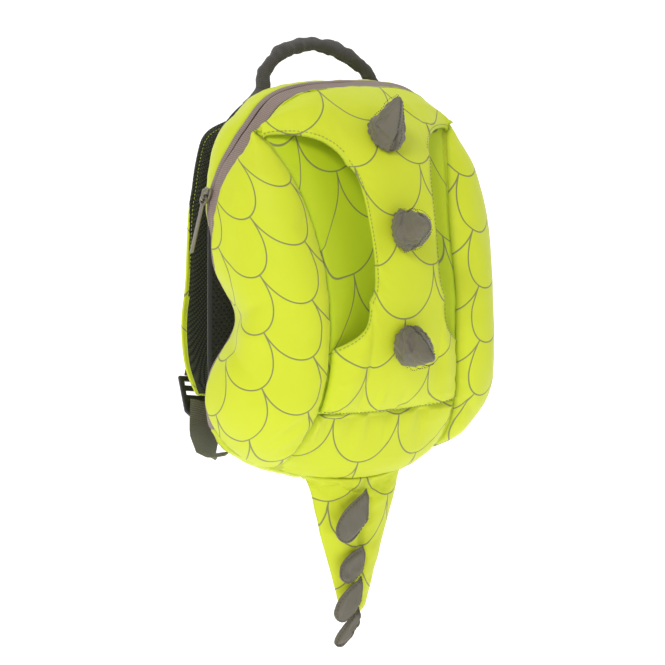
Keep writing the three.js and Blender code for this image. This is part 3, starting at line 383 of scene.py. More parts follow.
def seam_at_height(z):
    """The cheek seam's place out and forward at given heights."""
    line = seam_point(np.linspace(CHEEK_TOP, CHEEK_FOOT, 200))[::-1]
    return np.interp(z, line[:, 2], line[:, 0]), np.interp(z, line[:, 2], line[:, 1])


def fit_stow(points, rows, across):
    """Round the windows' corners beside the spine, and bring the panel's sides to the cheek seams."""
    spine = int(np.abs(across - 2).argmin())
    for edge, pull, down in ((WINDOW_TOP, 10.0, -1), (WINDOW_FOOT, 8.0, 1)):
        x0, _, z0 = points[int(np.abs(rows - edge).argmin()), spine]
        x, z = np.abs(points[..., 0]) - x0, points[..., 2] - z0
        amount = pull * np.exp(-np.hypot(x, z) * 0.68 / pull)
        points[..., 0] += np.sign(points[..., 0]) * amount * 0.707
        points[..., 2] += down * amount * 0.707
    out, forward = seam_at_height(points[..., 2])
    side = np.clip((np.abs(across) - 3.2) / 2.8, 0, 1)[None] ** 2 * smoothstep(rows, 0.6, 1.3)[:, None]
    points[..., 0] += (np.sign(points[..., 0]) * (out + 0.4) - points[..., 0]) * side
    points[..., 1] += (forward - 1.2 - points[..., 1]) * side
    return points


def eased(count, ease=0.5):
    """Shares from 0 to 1, closer together at both ends."""
    x = np.linspace(0, 1, count)
    return x - ease * np.sin(2 * np.pi * x) / (2 * np.pi)


def lengths(points, axis):
    steps = np.linalg.norm(np.diff(points, axis=axis), axis=-1)
    zero = np.zeros_like(np.take(steps, [0], axis=axis))
    return np.cumsum(np.concatenate([zero, steps], axis), axis)


def grid_normals(points, outside):
    along = np.gradient(points, axis=1)
    down = np.gradient(points, axis=0)
    normal = unit(np.cross(along, down))
    if (normal * outside).sum() < 0:
        normal = -normal
    return normal


def nearest_edge(points, edge):
    """Distance to an edge line, and how far along that line the nearest point lies."""
    flat = points.reshape(-1, 3)
    where = np.concatenate([[0], np.cumsum(np.linalg.norm(np.diff(edge, axis=0), axis=1))])
    best = np.full(len(flat), 1e9)
    along = np.zeros(len(flat))
    for k in range(0, len(flat), 4000):
        part = flat[k:k + 4000]
        gap = np.linalg.norm(part[:, None] - edge[None], axis=2)
        n = gap.argmin(1)
        best[k:k + 4000] = gap[np.arange(len(part)), n]
        along[k:k + 4000] = where[n]
    return best.reshape(points.shape[:2]), along.reshape(points.shape[:2])


def fold_relief(uv, folds):
    """Creases and ridges: each is start s, t, end s, t, height and width in millimetres."""
    total = np.zeros(uv.shape[:2])
    for s0, t0, s1, t1, height, width in folds:
        a, d = np.array([s0, t0]), np.array([s1 - s0, t1 - t0])
        share = np.clip(((uv - a) @ d) / (d @ d), 0, 1)
        off = uv - a - share[..., None] * d
        side = np.linalg.norm(off, axis=-1)
        body = np.exp(-(side / width) ** 2) * np.sin(np.pi * np.clip(share, 0.02, 0.98)) ** 0.6
        total += height * body
    return total


def cloth_relief(uv, gap, along, seed, soft, pucker, folds=(), reach=10.0):
    """The cloth's broad waves and folds, held down at the seams, and the puckers along them."""
    s, t = uv[..., 0], uv[..., 1]
    free = smoothstep(gap, 0, 14)
    waves = noise(s / 52, t / 64, seed) + 0.55 * noise(s / 23, t / 31, seed + 1)
    waves = waves + 0.16 * noise(s / 9, t / 12, seed + 2)
    ripple = noise(along / 5.2, gap / 14, seed + 3) + 0.5 * noise(along / 2.6, gap / 9, seed + 4)
    strength = 0.45 + 0.55 * (noise(along / 41, 0.5, seed + 5) + 1) / 2
    puckers = pucker * ripple * strength * np.exp(-(gap / reach) ** 2)
    return soft * waves * free + fold_relief(uv, folds) * free + puckers


# Meshes, materials and node groups.
def to_frame(points):
    return (np.asarray(points, float) - HANG) * 0.001


def make_mesh(name, points, faces, materials, uv=None, face_material=None, shade=None, in_frame=False):
    mesh = bpy.data.meshes.new(name)
    points = np.asarray(points, float) if in_frame else to_frame(points)
    mesh.from_pydata(points.tolist(), [], [list(map(int, f)) for f in faces])
    for item in materials:
        mesh.materials.append(item)
    if uv is not None:
        layer = mesh.uv_layers.new(name="cloth")
        corner = np.zeros(len(mesh.loops), np.int64)
        mesh.loops.foreach_get("vertex_index", corner)
        layer.data.foreach_set("uv", (np.asarray(uv, float)[corner] * 0.01).astype(np.float32).ravel())
    if face_material is not None:
        mesh.polygons.foreach_set("material_index", np.asarray(face_material, np.int32))
    if shade is not None:
        layer = mesh.attributes.new("seam_shade", "FLOAT", "POINT")
        layer.data.foreach_set("value", np.asarray(shade, np.float32).ravel())
    mesh.polygons.foreach_set("use_smooth", np.ones(len(mesh.polygons), bool))
    mesh.update()
    obj = bpy.data.objects.new(name, mesh)
    bpy.context.scene.collection.objects.link(obj)
    return obj


def settle(obj, nodes, body="bag"):
    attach(obj, body)
    if nodes:
        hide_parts(*nodes)
    return obj


def shell(name, points, uv, outside, materials, relief, keep=None, wall=WALL, shade=None):
    """A closed cloth panel from a grid of points, with its relief along its normals."""
    rows, columns = points.shape[:2]
    normal = grid_normals(points, outside)
    outer = points + normal * relief[..., None]
    inner = outer - normal * wall
    count = rows * columns
    everything = np.concatenate([outer.reshape(-1, 3), inner.reshape(-1, 3)])
    index = np.arange(count).reshape(rows, columns)
    kept = np.ones((rows - 1, columns - 1), bool) if keep is None else keep
    r, c = np.nonzero(kept)
    a, b, d, e = index[r, c], index[r, c + 1], index[r + 1, c + 1], index[r + 1, c]
    faces = [np.stack([a, b, d, e], 1), np.stack([e, d, b, a], 1) + count]
    padded = np.pad(kept, 1)
    for dr, dc, p, q in ((-1, 0, a, b), (0, 1, b, d), (1, 0, d, e), (0, -1, e, a)):
        open_side = ~padded[r + 1 + dr, c + 1 + dc]
        p, q = p[open_side], q[open_side]
        faces.append(np.stack([q, p, p + count, q + count], 1))
    faces = np.concatenate(faces)
    row, place = rows // 2, columns // 2
    aside = outer[row, place + 1] - outer[row, place]
    aslant = outer[row + 1, place + 1] - outer[row, place]
    if np.cross(aside, aslant) @ normal[row, place] < 0:
        faces = faces[:, ::-1]
    used = np.unique(faces)
    renumber = np.full(2 * count, -1)
    renumber[used] = np.arange(len(used))
    both_uv = np.concatenate([uv.reshape(-1, 2)] * 2)[used]
    both_shade = None if shade is None else np.concatenate([shade.ravel()] * 2)[used]
    return make_mesh(name, everything[used], renumber[faces], materials, both_uv, shade=both_shade)


def sum_node(tree, kind, a, b=None, c=None, clamp=False):
    node = tree.nodes.new("ShaderNodeMath")
    node.operation = kind
    node.use_clamp = clamp
    for k, value in enumerate((a, b, c)):
        if value is None:
            continue
        if isinstance(value, (int, float)):
            node.inputs[k].default_value = value
        else:
            tree.links.new(value, node.inputs[k])
    return node.outputs[0]


def new_group(name, inputs, outputs):
    tree = bpy.data.node_groups.new(name, "ShaderNodeTree")
    for label, kind, value in inputs:
        socket = tree.interface.new_socket(label, in_out="INPUT", socket_type=kind)
        if value is not None:
            socket.default_value = value
    for label, kind in outputs:
        tree.interface.new_socket(label, in_out="OUTPUT", socket_type=kind)
    return tree, tree.nodes.new("NodeGroupInput"), tree.nodes.new("NodeGroupOutput")


def scale_print_group():
    """Outlines of overlapping scales: rows of hanging arcs, each row half a scale aside."""
    tree, given, out = new_group("scale_print", [
        ("Vector", "NodeSocketVector", None), ("Width", "NodeSocketFloat", 55.0),
        ("Drop", "NodeSocketFloat", 37.0), ("Line", "NodeSocketFloat", 1.0)],
        [("Mask", "NodeSocketFloat")])
    link = tree.links.new
    split = tree.nodes.new("ShaderNodeSeparateXYZ")
    link(given.outputs["Vector"], split.inputs[0])
    width, drop, line = (given.outputs[n] for n in ("Width", "Drop", "Line"))
    half = sum_node(tree, "MULTIPLY", width, 0.5)
    row = sum_node(tree, "CEIL", sum_node(tree, "DIVIDE", split.outputs[1], drop))
    masks = []
    for step in (0, 1):
        k = sum_node(tree, "ADD", row, float(step))
        dy = sum_node(tree, "SUBTRACT", split.outputs[1], sum_node(tree, "MULTIPLY", k, drop))
        aside = sum_node(tree, "MULTIPLY", sum_node(tree, "FRACT", sum_node(tree, "MULTIPLY", k, 0.5)), width)
        xx = sum_node(tree, "SUBTRACT", split.outputs[0], aside)
        whole = sum_node(tree, "ROUND", sum_node(tree, "DIVIDE", xx, width))
        dx = sum_node(tree, "SUBTRACT", xx, sum_node(tree, "MULTIPLY", whole, width))
        px, py = sum_node(tree, "DIVIDE", dx, half), sum_node(tree, "DIVIDE", dy, drop)
        q = sum_node(tree, "SQRT", sum_node(tree, "ADD", sum_node(tree, "MULTIPLY", px, px),
                                            sum_node(tree, "MULTIPLY", py, py)))
        gx, gy = sum_node(tree, "DIVIDE", px, half), sum_node(tree, "DIVIDE", py, drop)
        slope = sum_node(tree, "SQRT", sum_node(tree, "ADD", sum_node(tree, "MULTIPLY", gx, gx),
                                                sum_node(tree, "MULTIPLY", gy, gy)))
        steep = sum_node(tree, "DIVIDE", slope, sum_node(tree, "MAXIMUM", q, 0.01))
        steep = sum_node(tree, "MAXIMUM", steep, 0.001)
        gap = sum_node(tree, "DIVIDE", sum_node(tree, "ABSOLUTE", sum_node(tree, "SUBTRACT", q, 1.0)), steep)
        ramp = tree.nodes.new("ShaderNodeMapRange")
        ramp.interpolation_type = "SMOOTHSTEP"
        link(gap, ramp.inputs["Value"])
        link(sum_node(tree, "MULTIPLY", line, 0.3), ramp.inputs["From Min"])
        link(sum_node(tree, "MULTIPLY", line, 0.7), ramp.inputs["From Max"])
        ramp.inputs["To Min"].default_value = 1
        ramp.inputs["To Max"].default_value = 0
        masks.append(ramp.outputs[0])
    link(sum_node(tree, "MAXIMUM", *masks), out.inputs["Mask"])
    return tree


def weave_group():
    """The height of a plain weave whose threads lie a pitch apart, in millimetres of its vector."""
    tree, given, out = new_group("plain_weave", [
        ("Vector", "NodeSocketVector", None), ("Pitch", "NodeSocketFloat", 0.9)],
        [("Height", "NodeSocketFloat")])
    split = tree.nodes.new("ShaderNodeSeparateXYZ")
    tree.links.new(given.outputs["Vector"], split.inputs[0])
    turn = sum_node(tree, "DIVIDE", 6.2832, given.outputs["Pitch"])
    waves = [sum_node(tree, "SINE", sum_node(tree, "MULTIPLY", split.outputs[k], turn)) for k in (0, 1)]
    height = sum_node(tree, "MULTIPLY_ADD", sum_node(tree, "MULTIPLY", *waves), 0.5, 0.5)
    tree.links.new(height, out.inputs["Height"])
    return tree


def mesh_group():
    """Spacer mesh: staggered rows of small round holes. The mask is 1 in a hole."""
    tree, given, out = new_group("spacer_mesh", [
        ("Vector", "NodeSocketVector", None), ("Pitch", "NodeSocketFloat", 4.0),
        ("Hole", "NodeSocketFloat", 0.3)],
        [("Hole", "NodeSocketFloat"), ("Height", "NodeSocketFloat")])
    split = tree.nodes.new("ShaderNodeSeparateXYZ")
    tree.links.new(given.outputs["Vector"], split.inputs[0])
    x = sum_node(tree, "DIVIDE", split.outputs[0], given.outputs["Pitch"])
    y = sum_node(tree, "DIVIDE", split.outputs[1], sum_node(tree, "MULTIPLY", given.outputs["Pitch"], 0.6))
    row = sum_node(tree, "FLOOR", y)
    x = sum_node(tree, "ADD", x, sum_node(tree, "FRACT", sum_node(tree, "MULTIPLY", row, 0.5)))
    dx = sum_node(tree, "SUBTRACT", sum_node(tree, "FRACT", x), 0.5)
    dy = sum_node(tree, "MULTIPLY", sum_node(tree, "SUBTRACT", sum_node(tree, "FRACT", y), 0.5), 0.75)
    r = sum_node(tree, "SQRT", sum_node(tree, "ADD", sum_node(tree, "MULTIPLY", dx, dx),
                                        sum_node(tree, "MULTIPLY", dy, dy)))
    ramp = tree.nodes.new("ShaderNodeMapRange")
    ramp.interpolation_type = "SMOOTHSTEP"
    tree.links.new(r, ramp.inputs["Value"])
    tree.links.new(sum_node(tree, "MULTIPLY", given.outputs["Hole"], 0.7), ramp.inputs["From Min"])
    tree.links.new(sum_node(tree, "MULTIPLY", given.outputs["Hole"], 1.2), ramp.inputs["From Max"])
    ramp.inputs["To Min"].default_value = 1
    ramp.inputs["To Max"].default_value = 0
    tree.links.new(ramp.outputs[0], out.inputs["Hole"])
    tree.links.new(sum_node(tree, "SUBTRACT", 1.0, ramp.outputs[0]), out.inputs["Height"])
    return tree


def rib_group():
    """Ribs across webbing or zip tape, in millimetres of its vector's Y."""
    tree, given, out = new_group("cross_ribs", [
        ("Vector", "NodeSocketVector", None), ("Pitch", "NodeSocketFloat", 1.2)],
        [("Height", "NodeSocketFloat")])
    split = tree.nodes.new("ShaderNodeSeparateXYZ")
    tree.links.new(given.outputs["Vector"], split.inputs[0])
    turn = sum_node(tree, "DIVIDE", 6.2832, given.outputs["Pitch"])
    wave = sum_node(tree, "SINE", sum_node(tree, "MULTIPLY", split.outputs[1], turn))
    fine = sum_node(tree, "SINE", sum_node(tree, "MULTIPLY", split.outputs[0], 5.0))
    mix = sum_node(tree, "ADD", sum_node(tree, "MULTIPLY", wave, 0.4), sum_node(tree, "MULTIPLY", fine, 0.1))
    tree.links.new(sum_node(tree, "ADD", mix, 0.5), out.inputs["Height"])
    return tree


def group(name):
    makers = {"scale_print": scale_print_group, "plain_weave": weave_group,
              "spacer_mesh": mesh_group, "cross_ribs": rib_group}
    return bpy.data.node_groups.get(name) or makers[name]()


def new_material(name, roughness, sheen=0.0, metallic=0.0, specular=0.35):
    item = bpy.data.materials.new(name)
    item.use_nodes = True
    shader = item.node_tree.nodes["Principled BSDF"]
    shader.inputs["Roughness"].default_value = roughness
    shader.inputs["Metallic"].default_value = metallic
    shader.inputs["Specular IOR Level"].default_value = specular
    shader.inputs["Sheen Weight"].default_value = sheen
    shader.inputs["Sheen Roughness"].default_value = 0.45
    return item, item.node_tree, shader


def cloth_vector(tree, turn=0.0, shift=(0.0, 0.0)):
    """The cloth's own coordinates in millimetres, turned and shifted."""
    given = tree.nodes.new("ShaderNodeUVMap")
    given.uv_map = "cloth"
    place = tree.nodes.new("ShaderNodeMapping")
    place.inputs["Scale"].default_value = (100, 100, 100)
    place.inputs["Rotation"].default_value = (0, 0, turn)
    place.inputs["Location"].default_value = (shift[0], shift[1], 0)
    tree.links.new(given.outputs[0], place.inputs[0])
    return place.outputs[0]


def use_group(tree, name, vector, **values):
    node = tree.nodes.new("ShaderNodeGroup")
    node.node_tree = group(name)
    tree.links.new(vector, node.inputs["Vector"])
    for key, value in values.items():
        node.inputs[key].default_value = value
    return node


def mixed(tree, factor, a, b):
    node = tree.nodes.new("ShaderNodeMix")
    node.data_type = "RGBA"
    for socket, value in ((node.inputs[0], factor), (node.inputs[6], a), (node.inputs[7], b)):
        if isinstance(value, (int, float)):
            socket.default_value = value
        elif isinstance(value, (tuple, list)) or hasattr(value, "__len__"):
            socket.default_value = tuple(value)
        else:
            tree.links.new(value, socket)
    return node.outputs[2]


def toned(tree, colour, strength=0.08, size=28.0, hue=(1.0, 1.0, 1.0)):
    """A colour with soft patches a little darker and a little greener."""
    place = tree.nodes.new("ShaderNodeTexCoord")
    cloud = tree.nodes.new("ShaderNodeTexNoise")
    cloud.inputs["Scale"].default_value = size
    cloud.inputs["Detail"].default_value = 3
    tree.links.new(place.outputs["Object"], cloud.inputs["Vector"])
    dark = [max(0.0, v * (1 - strength * h)) for v, h in zip(colour[:3], hue)] + [1]
    return mixed(tree, cloud.outputs[0], tuple(colour), tuple(dark))


def bumped(tree, shader, height, distance, strength=1.0):
    node = tree.nodes.new("ShaderNodeBump")
    node.inputs["Strength"].default_value = strength
    node.inputs["Distance"].default_value = distance
    tree.links.new(height, node.inputs["Height"])
    tree.links.new(node.outputs[0], shader.inputs["Normal"])


def lime_cloth(name, colour, printed=True, turn=0.0, shift=(0.0, 0.0), size=1.0, deep=1.0):
    cloth = bpy.context.scene.rucksack_cloth
    item, tree, shader = new_material(name, 0.6, sheen=0.12)
    base = toned(tree, colour, 0.10, 9.0, (1.0, 0.35, 1.2))
    # Painted shade: the cloth turns darker towards its seams, following the seam_shade attribute.
    shade = tree.nodes.new("ShaderNodeAttribute")
    shade.attribute_name = "seam_shade"
    painted_seam_shade = tuple(v * w for v, w in zip(colour[:3], (0.62, 0.74, 0.6))) + (1,)
    base = mixed(tree, sum_node(tree, "MULTIPLY", shade.outputs["Fac"], 0.55), base, painted_seam_shade)
    if printed:
        lines = use_group(tree, "scale_print", cloth_vector(tree, turn, shift),
                          Width=cloth.scale_width * 1000 * size,
                          Drop=cloth.scale_drop * 1000 * size * deep, Line=cloth.line_width * 1000)
        base = mixed(tree, sum_node(tree, "MULTIPLY", lines.outputs[0], 0.85), base, tuple(cloth.line))
    tree.links.new(base, shader.inputs["Base Color"])
    weave = use_group(tree, "plain_weave", cloth_vector(tree), Pitch=1.1)
    bumped(tree, shader, weave.outputs[0], 0.00006, 0.5)
    return item


def taupe_cloth():
    cloth = bpy.context.scene.rucksack_cloth
    item, tree, shader = new_material("spike_cloth", 0.55, sheen=0.15)
    base = toned(tree, cloth.taupe, 0.22, 40.0)
    # Painted shade: the taupe turns much darker at the seams and roots, following the seam_shade attribute.
    shade = tree.nodes.new("ShaderNodeAttribute")
    shade.attribute_name = "seam_shade"
    dark = tuple(v * 0.35 for v in cloth.taupe[:3]) + (1,)
    base = mixed(tree, sum_node(tree, "MULTIPLY", shade.outputs["Fac"], 0.9), base, dark)
    tree.links.new(base, shader.inputs["Base Color"])
    weave = use_group(tree, "plain_weave", cloth_vector(tree), Pitch=0.9)
    bumped(tree, shader, weave.outputs[0], 0.00008, 0.6)
    return item


def ribbed_cloth(name, colour, pitch, depth=0.00025, roughness=0.7):
    item, tree, shader = new_material(name, roughness, sheen=0.15)
    ribs = use_group(tree, "cross_ribs", cloth_vector(tree), Pitch=pitch)
    # Darker between the ribs: painted shade in the rib hollows, following the same height as the bump.
    dark = tuple(v * 0.55 for v in colour[:3]) + (1,)
    base = mixed(tree, ribs.outputs[0], dark, tuple(colour))
    tree.links.new(base, shader.inputs["Base Color"])
    bumped(tree, shader, ribs.outputs[0], depth, 0.9)
    return item


def mesh_cloth(name, colour, hole_colour, pitch):
    item, tree, shader = new_material(name, 0.75, sheen=0.2)
    holes = use_group(tree, "spacer_mesh", cloth_vector(tree), Pitch=pitch, Hole=0.3)
    # The holes show the layer beneath, darkened as painted shade inside the holes.
    base = mixed(tree, holes.outputs["Hole"], tuple(colour), tuple(hole_colour))
    tree.links.new(base, shader.inputs["Base Color"])
    bumped(tree, shader, holes.outputs["Height"], 0.0009, 1.0)
    return item


def plain(name, colour, roughness, metallic=0.0, grain=0.00004, scale=900.0):
    item, tree, shader = new_material(name, roughness, metallic=metallic, specular=0.5)
    place = tree.nodes.new("ShaderNodeTexCoord")
    cloud = tree.nodes.new("ShaderNodeTexNoise")
    cloud.inputs["Scale"].default_value = scale
    tree.links.new(place.outputs["Object"], cloud.inputs["Vector"])
    dark = tuple(v * 0.8 for v in colour[:3]) + (1,)
    tree.links.new(mixed(tree, cloud.outputs[0], dark, tuple(colour)), shader.inputs["Base Color"])
    bumped(tree, shader, cloud.outputs[0], grain, 0.6)
    return item


# Repeated and stuffed things.
def sewn_row_tree():
    """Small rounded bits at an even pitch along an edge line, each lying along the line's lay attribute."""
    tree = bpy.data.node_groups.get("sewn_row")
    if tree:
        return tree
    tree = bpy.data.node_groups.new("sewn_row", "GeometryNodeTree")
    new = tree.interface.new_socket
    new("Geometry", in_out="INPUT", socket_type="NodeSocketGeometry")
    for label, value in (("Pitch", 0.003), ("Length", 0.0022), ("Thickness", 0.0005)):
        new(label, in_out="INPUT", socket_type="NodeSocketFloat").default_value = value
    new("Material", in_out="INPUT", socket_type="NodeSocketMaterial")
    new("Geometry", in_out="OUTPUT", socket_type="NodeSocketGeometry")
    add, link = tree.nodes.new, tree.links.new
    given, out = add("NodeGroupInput"), add("NodeGroupOutput")
    curve, resample = add("GeometryNodeMeshToCurve"), add("GeometryNodeResampleCurve")
    resample.mode = "LENGTH"
    bit, shape = add("GeometryNodeMeshUVSphere"), add("GeometryNodeTransform")
    size = add("ShaderNodeCombineXYZ")
    bit.inputs["Segments"].default_value = 6
    bit.inputs["Rings"].default_value = 4
    bit.inputs["Radius"].default_value = 0.5
    lay, turn = add("GeometryNodeInputNamedAttribute"), add("FunctionNodeAlignRotationToVector")
    lay.data_type = "FLOAT_VECTOR"
    lay.inputs["Name"].default_value = "lay"
    turn.axis = "X"
    place, real = add("GeometryNodeInstanceOnPoints"), add("GeometryNodeRealizeInstances")
    finish = add("GeometryNodeSetMaterial")
    link(given.outputs["Geometry"], curve.inputs[0])
    link(curve.outputs[0], resample.inputs["Curve"])
    link(given.outputs["Pitch"], resample.inputs["Length"])
    link(given.outputs["Length"], size.inputs[0])
    link(given.outputs["Thickness"], size.inputs[1])
    link(given.outputs["Thickness"], size.inputs[2])
    link(bit.outputs["Mesh"], shape.inputs["Geometry"])
    link(size.outputs[0], shape.inputs["Scale"])
    link(lay.outputs["Attribute"], turn.inputs["Vector"])
    link(resample.outputs[0], place.inputs["Points"])
    link(shape.outputs[0], place.inputs["Instance"])
    link(turn.outputs[0], place.inputs["Rotation"])
    link(place.outputs[0], real.inputs[0])
    link(real.outputs[0], finish.inputs["Geometry"])
    link(given.outputs["Material"], finish.inputs["Material"])
    link(finish.outputs[0], out.inputs[0])
    return tree


def baked(obj, levels=0):
    """The object with its modifiers turned into plain mesh."""
    if levels:
        smooth = obj.modifiers.new("smooth", "SUBSURF")
        smooth.levels = smooth.render_levels = levels
    bpy.context.view_layer.update()
    ready = obj.evaluated_get(bpy.context.evaluated_depsgraph_get())
    mesh = bpy.data.meshes.new_from_object(ready)
    obj.modifiers.clear()
    obj.data = mesh
    return obj


def sewn_rows(name, lines, pitch, length, thickness, material, lays=None, body="bag"):
    """A row of stitches or coil turns along each line of points."""
    points, edges, lay = [], [], []
    for k, line in enumerate(lines):
        line = to_frame(line)
        edges += [(len(points) + i, len(points) + i + 1) for i in range(len(line) - 1)]
        points += line.tolist()
        lay += (unit(np.gradient(line, axis=0)) if lays is None else lays[k]).tolist()
    mesh = bpy.data.meshes.new(name)
    mesh.from_pydata(points, edges, [])
    layer = mesh.attributes.new("lay", "FLOAT_VECTOR", "POINT")
    layer.data.foreach_set("vector", np.asarray(lay, np.float32).ravel())
    obj = bpy.data.objects.new(name, mesh)
    bpy.context.scene.collection.objects.link(obj)
    tree = sewn_row_tree()
    made = obj.modifiers.new("sewn_row", "NODES")
    made.node_group = tree
    for item in tree.interface.items_tree:
        if item.item_type == "SOCKET" and item.in_out == "INPUT" and item.name != "Geometry":
            made[item.identifier] = {"Pitch": pitch, "Length": length, "Thickness": thickness,
                                     "Material": material}[item.name]
    baked(obj)
    obj.data.polygons.foreach_set("use_smooth", np.ones(len(obj.data.polygons), bool))
    return settle(obj, [], body)


def puff_up(obj, pinned, tight, pressure, cap, growth=0.05):
    """Swell a closed mesh as cloth: pinned points stay, tight points draw in as a seam does."""
    count = len(obj.data.vertices)
    start = np.zeros(count * 3)
    obj.data.vertices.foreach_get("co", start)
    start = start.reshape(-1, 3)
    hold, draw = obj.vertex_groups.new(name="hold"), obj.vertex_groups.new(name="draw")
    for k in np.nonzero(pinned > 0)[0]:
        hold.add([int(k)], float(pinned[k]), "REPLACE")
    for k in np.nonzero(tight > 0)[0]:
        draw.add([int(k)], float(tight[k]), "REPLACE")
    cloth = obj.modifiers.new("cloth", "CLOTH")
    cloth.settings.quality = 8
    cloth.settings.mass = 0.15
    cloth.settings.tension_stiffness = cloth.settings.compression_stiffness = 20
    cloth.settings.shear_stiffness = 8
    cloth.settings.bending_stiffness = 0.05
    cloth.settings.use_pressure = True
    cloth.settings.uniform_pressure_force = pressure
    cloth.settings.vertex_group_mass = "hold"
    cloth.settings.vertex_group_shrink = "draw"
    cloth.settings.shrink_min = -growth
    cloth.settings.shrink_max = 0.06
    cloth.settings.effector_weights.gravity = 0
    cloth.collision_settings.use_collision = False
    cloth.point_cache.frame_start, cloth.point_cache.frame_end = 1, 20
    scene = bpy.context.scene
    for step in range(1, 21):
        scene.frame_set(step)
    ready = obj.evaluated_get(bpy.context.evaluated_depsgraph_get())
    moved = np.zeros(count * 3)
    ready.data.vertices.foreach_get("co", moved)
    moved = moved.reshape(-1, 3)
    obj.modifiers.clear()
    scene.frame_set(1)
    obj.vertex_groups.clear()
    way = moved - start
    far = np.linalg.norm(way, axis=1, keepdims=True)
    if not np.isfinite(far).all():
        raise RuntimeError(f"{obj.name}: the cloth didn't settle")
    moved = start + way * np.minimum(1, cap / np.maximum(far, 1e-9))
    obj.data.vertices.foreach_set("co", moved.ravel())
    obj.data.update()
    return obj


def lofted(name, rings, materials, shade=None, face_material=None):
    """A closed mesh through rings of points, each end closed by a fan to its middle."""
    rings = np.asarray(rings, float)
    count, around = rings.shape[:2]
    index = np.arange(count * around).reshape(count, around)
    turned = np.roll(index, -1, axis=1)
    faces = np.stack([index[:-1], turned[:-1], turned[1:], index[1:]], -1).reshape(-1, 4).tolist()
    points = rings.reshape(-1, 3)
    points = np.vstack([points, rings[0].mean(0), rings[-1].mean(0)])
    first, last = count * around, count * around + 1
    faces += [(first, turned[0, k], index[0, k]) for k in range(around)]
    faces += [(last, index[-1, k], turned[-1, k]) for k in range(around)]
    volume, heart = 0.0, points.mean(0)
    for face in faces[::7]:
        a, b, c = (points[corner] - heart for corner in face[:3])
        volume += a @ np.cross(b, c)
    if volume < 0:
        faces = [tuple(reversed(face)) for face in faces]
    girth = lengths(np.concatenate([rings, rings[:, :1]], 1), 1)[:, :-1]
    run = lengths(rings, 0)
    uv = np.stack([girth, run], -1).reshape(-1, 2)
    uv = np.vstack([uv, uv[:around].mean(0), uv[-around:].mean(0)])
    both = None
    if shade is not None:
        both = np.concatenate([shade.ravel(), [shade[0].mean(), shade[-1].mean()]])
    chosen = None
    if face_material is not None:
        chosen = np.concatenate([face_material.ravel(), np.zeros(2 * around, int)])
    return make_mesh(name, points, faces, materials, uv, chosen, both)


def front_uv(obj, rings):
    """Lay a lofted piece's cloth coordinates out as seen from the front."""
    flat = np.vstack([rings.reshape(-1, 3), rings[0].mean(0), rings[-1].mean(0)])
    corner = np.zeros(len(obj.data.loops), np.int64)
    obj.data.loops.foreach_get("vertex_index", corner)
    uv = (flat[corner][:, [0, 2]] * 0.01).astype(np.float32)
    obj.data.uv_layers["cloth"].data.foreach_set("uv", uv.ravel())


def bevelled(node, name, width, material, body="bag"):
    """A moulded or cast piece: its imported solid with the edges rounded."""
    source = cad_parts[node]
    mesh = source.data.copy()
    obj = bpy.data.objects.new(name, mesh)
    bpy.context.scene.collection.objects.link(obj)
    mesh.materials.clear()
    mesh.materials.append(material)
    weld = obj.modifiers.new("weld", "WELD")
    weld.merge_threshold = 0.00002
    flat = obj.modifiers.new("flat", "DECIMATE")
    flat.decimate_type = "DISSOLVE"
    flat.angle_limit = math.radians(2)
    edge = obj.modifiers.new("edge", "BEVEL")
    edge.width = width
    edge.segments = 3
    edge.limit_method = "ANGLE"
    edge.angle_limit = math.radians(28)
    edge.harden_normals = False
    tidy = obj.modifiers.new("tidy", "TRIANGULATE")
    tidy.min_vertices = 5
    baked(obj)
    obj.data.polygons.foreach_set("use_smooth", np.ones(len(obj.data.polygons), bool))
    obj.data.set_sharp_from_angle(angle=math.radians(40))
    return settle(obj, [node], body)


# The cloth of the body.
def around_grid(points):
    edge = np.concatenate([points[0], points[1:, -1], points[-1, -2::-1], points[-2:0:-1, 0], points[:1, 0]])
    return edge


def sewn_panel(name, node, points, uv, outside, material, seed, folds=(), extra=None,
               keep=None, soft=1.0, wall=WALL, lean=0.8):
    """A body panel with rolled seams, puckers and folds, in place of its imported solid."""
    sewing = bpy.context.scene.rucksack_sewing
    if keep is None:
        gap, along = nearest_edge(points, around_grid(points))
    else:
        padded = np.pad(keep, 1)
        touching = (padded[:-1, :-1].astype(int) + padded[1:, :-1] + padded[:-1, 1:] + padded[1:, 1:])
        edge = points[(touching > 0) & (touching < 4)]
        gap, _ = nearest_edge(points, edge)
        along = uv[..., 0] + 1.3 * uv[..., 1]
    roll = -sewing.roll * 1000 * lean * np.clip(1 - gap / 4, 0, 1) ** 2
    relief = roll + cloth_relief(uv, gap, along, sewing.seed + seed, sewing.softness * 1000 * soft,
                                 sewing.pucker * 1000, folds)
    if extra is not None:
        relief = relief + extra * smoothstep(gap, 0, 5)
    # Painted shade along the seams: strongest at the panel's edge, fading within a few millimetres.
    shade = np.exp(-(gap / 2.0) ** 2)
    obj = shell(name, points, uv, outside, [material], relief, keep, wall, shade)
    return settle(obj, [node])


LEFT_FOLDS = (
    (156, 124, 112, 141, -1.5, 5), (158, 118, 108, 112, 1.6, 7), (156, 110, 118, 84, -1.3, 5),
    (150, 100, 122, 66, 1.2, 7), (64, 66, 92, 38, -1.7, 4), (62, 56, 84, 30, 1.5, 5),
    (68, 44, 88, 22, -1.3, 4),
    (62, 206, 84, 190, -1.0, 5), (60, 188, 82, 176, 0.9, 6), (60, 120, 88, 112, -0.9, 6),
    (132, 186, 146, 150, -1.0, 6), (92, 236, 118, 250, -0.9, 6), (60, 90, 78, 80, 0.8, 4),
)
RIGHT_FOLDS = (
    (156, 126, 116, 138, -1.3, 5), (157, 117, 110, 108, 1.5, 7), (154, 106, 120, 82, -1.4, 5),
    (64, 62, 90, 40, -1.5, 4), (62, 50, 86, 26, 1.4, 5), (62, 196, 88, 186, -1.0, 5),
    (128, 190, 148, 160, 1.0, 7), (60, 132, 84, 120, -1.0, 6), (96, 240, 120, 246, -0.8, 6),
)


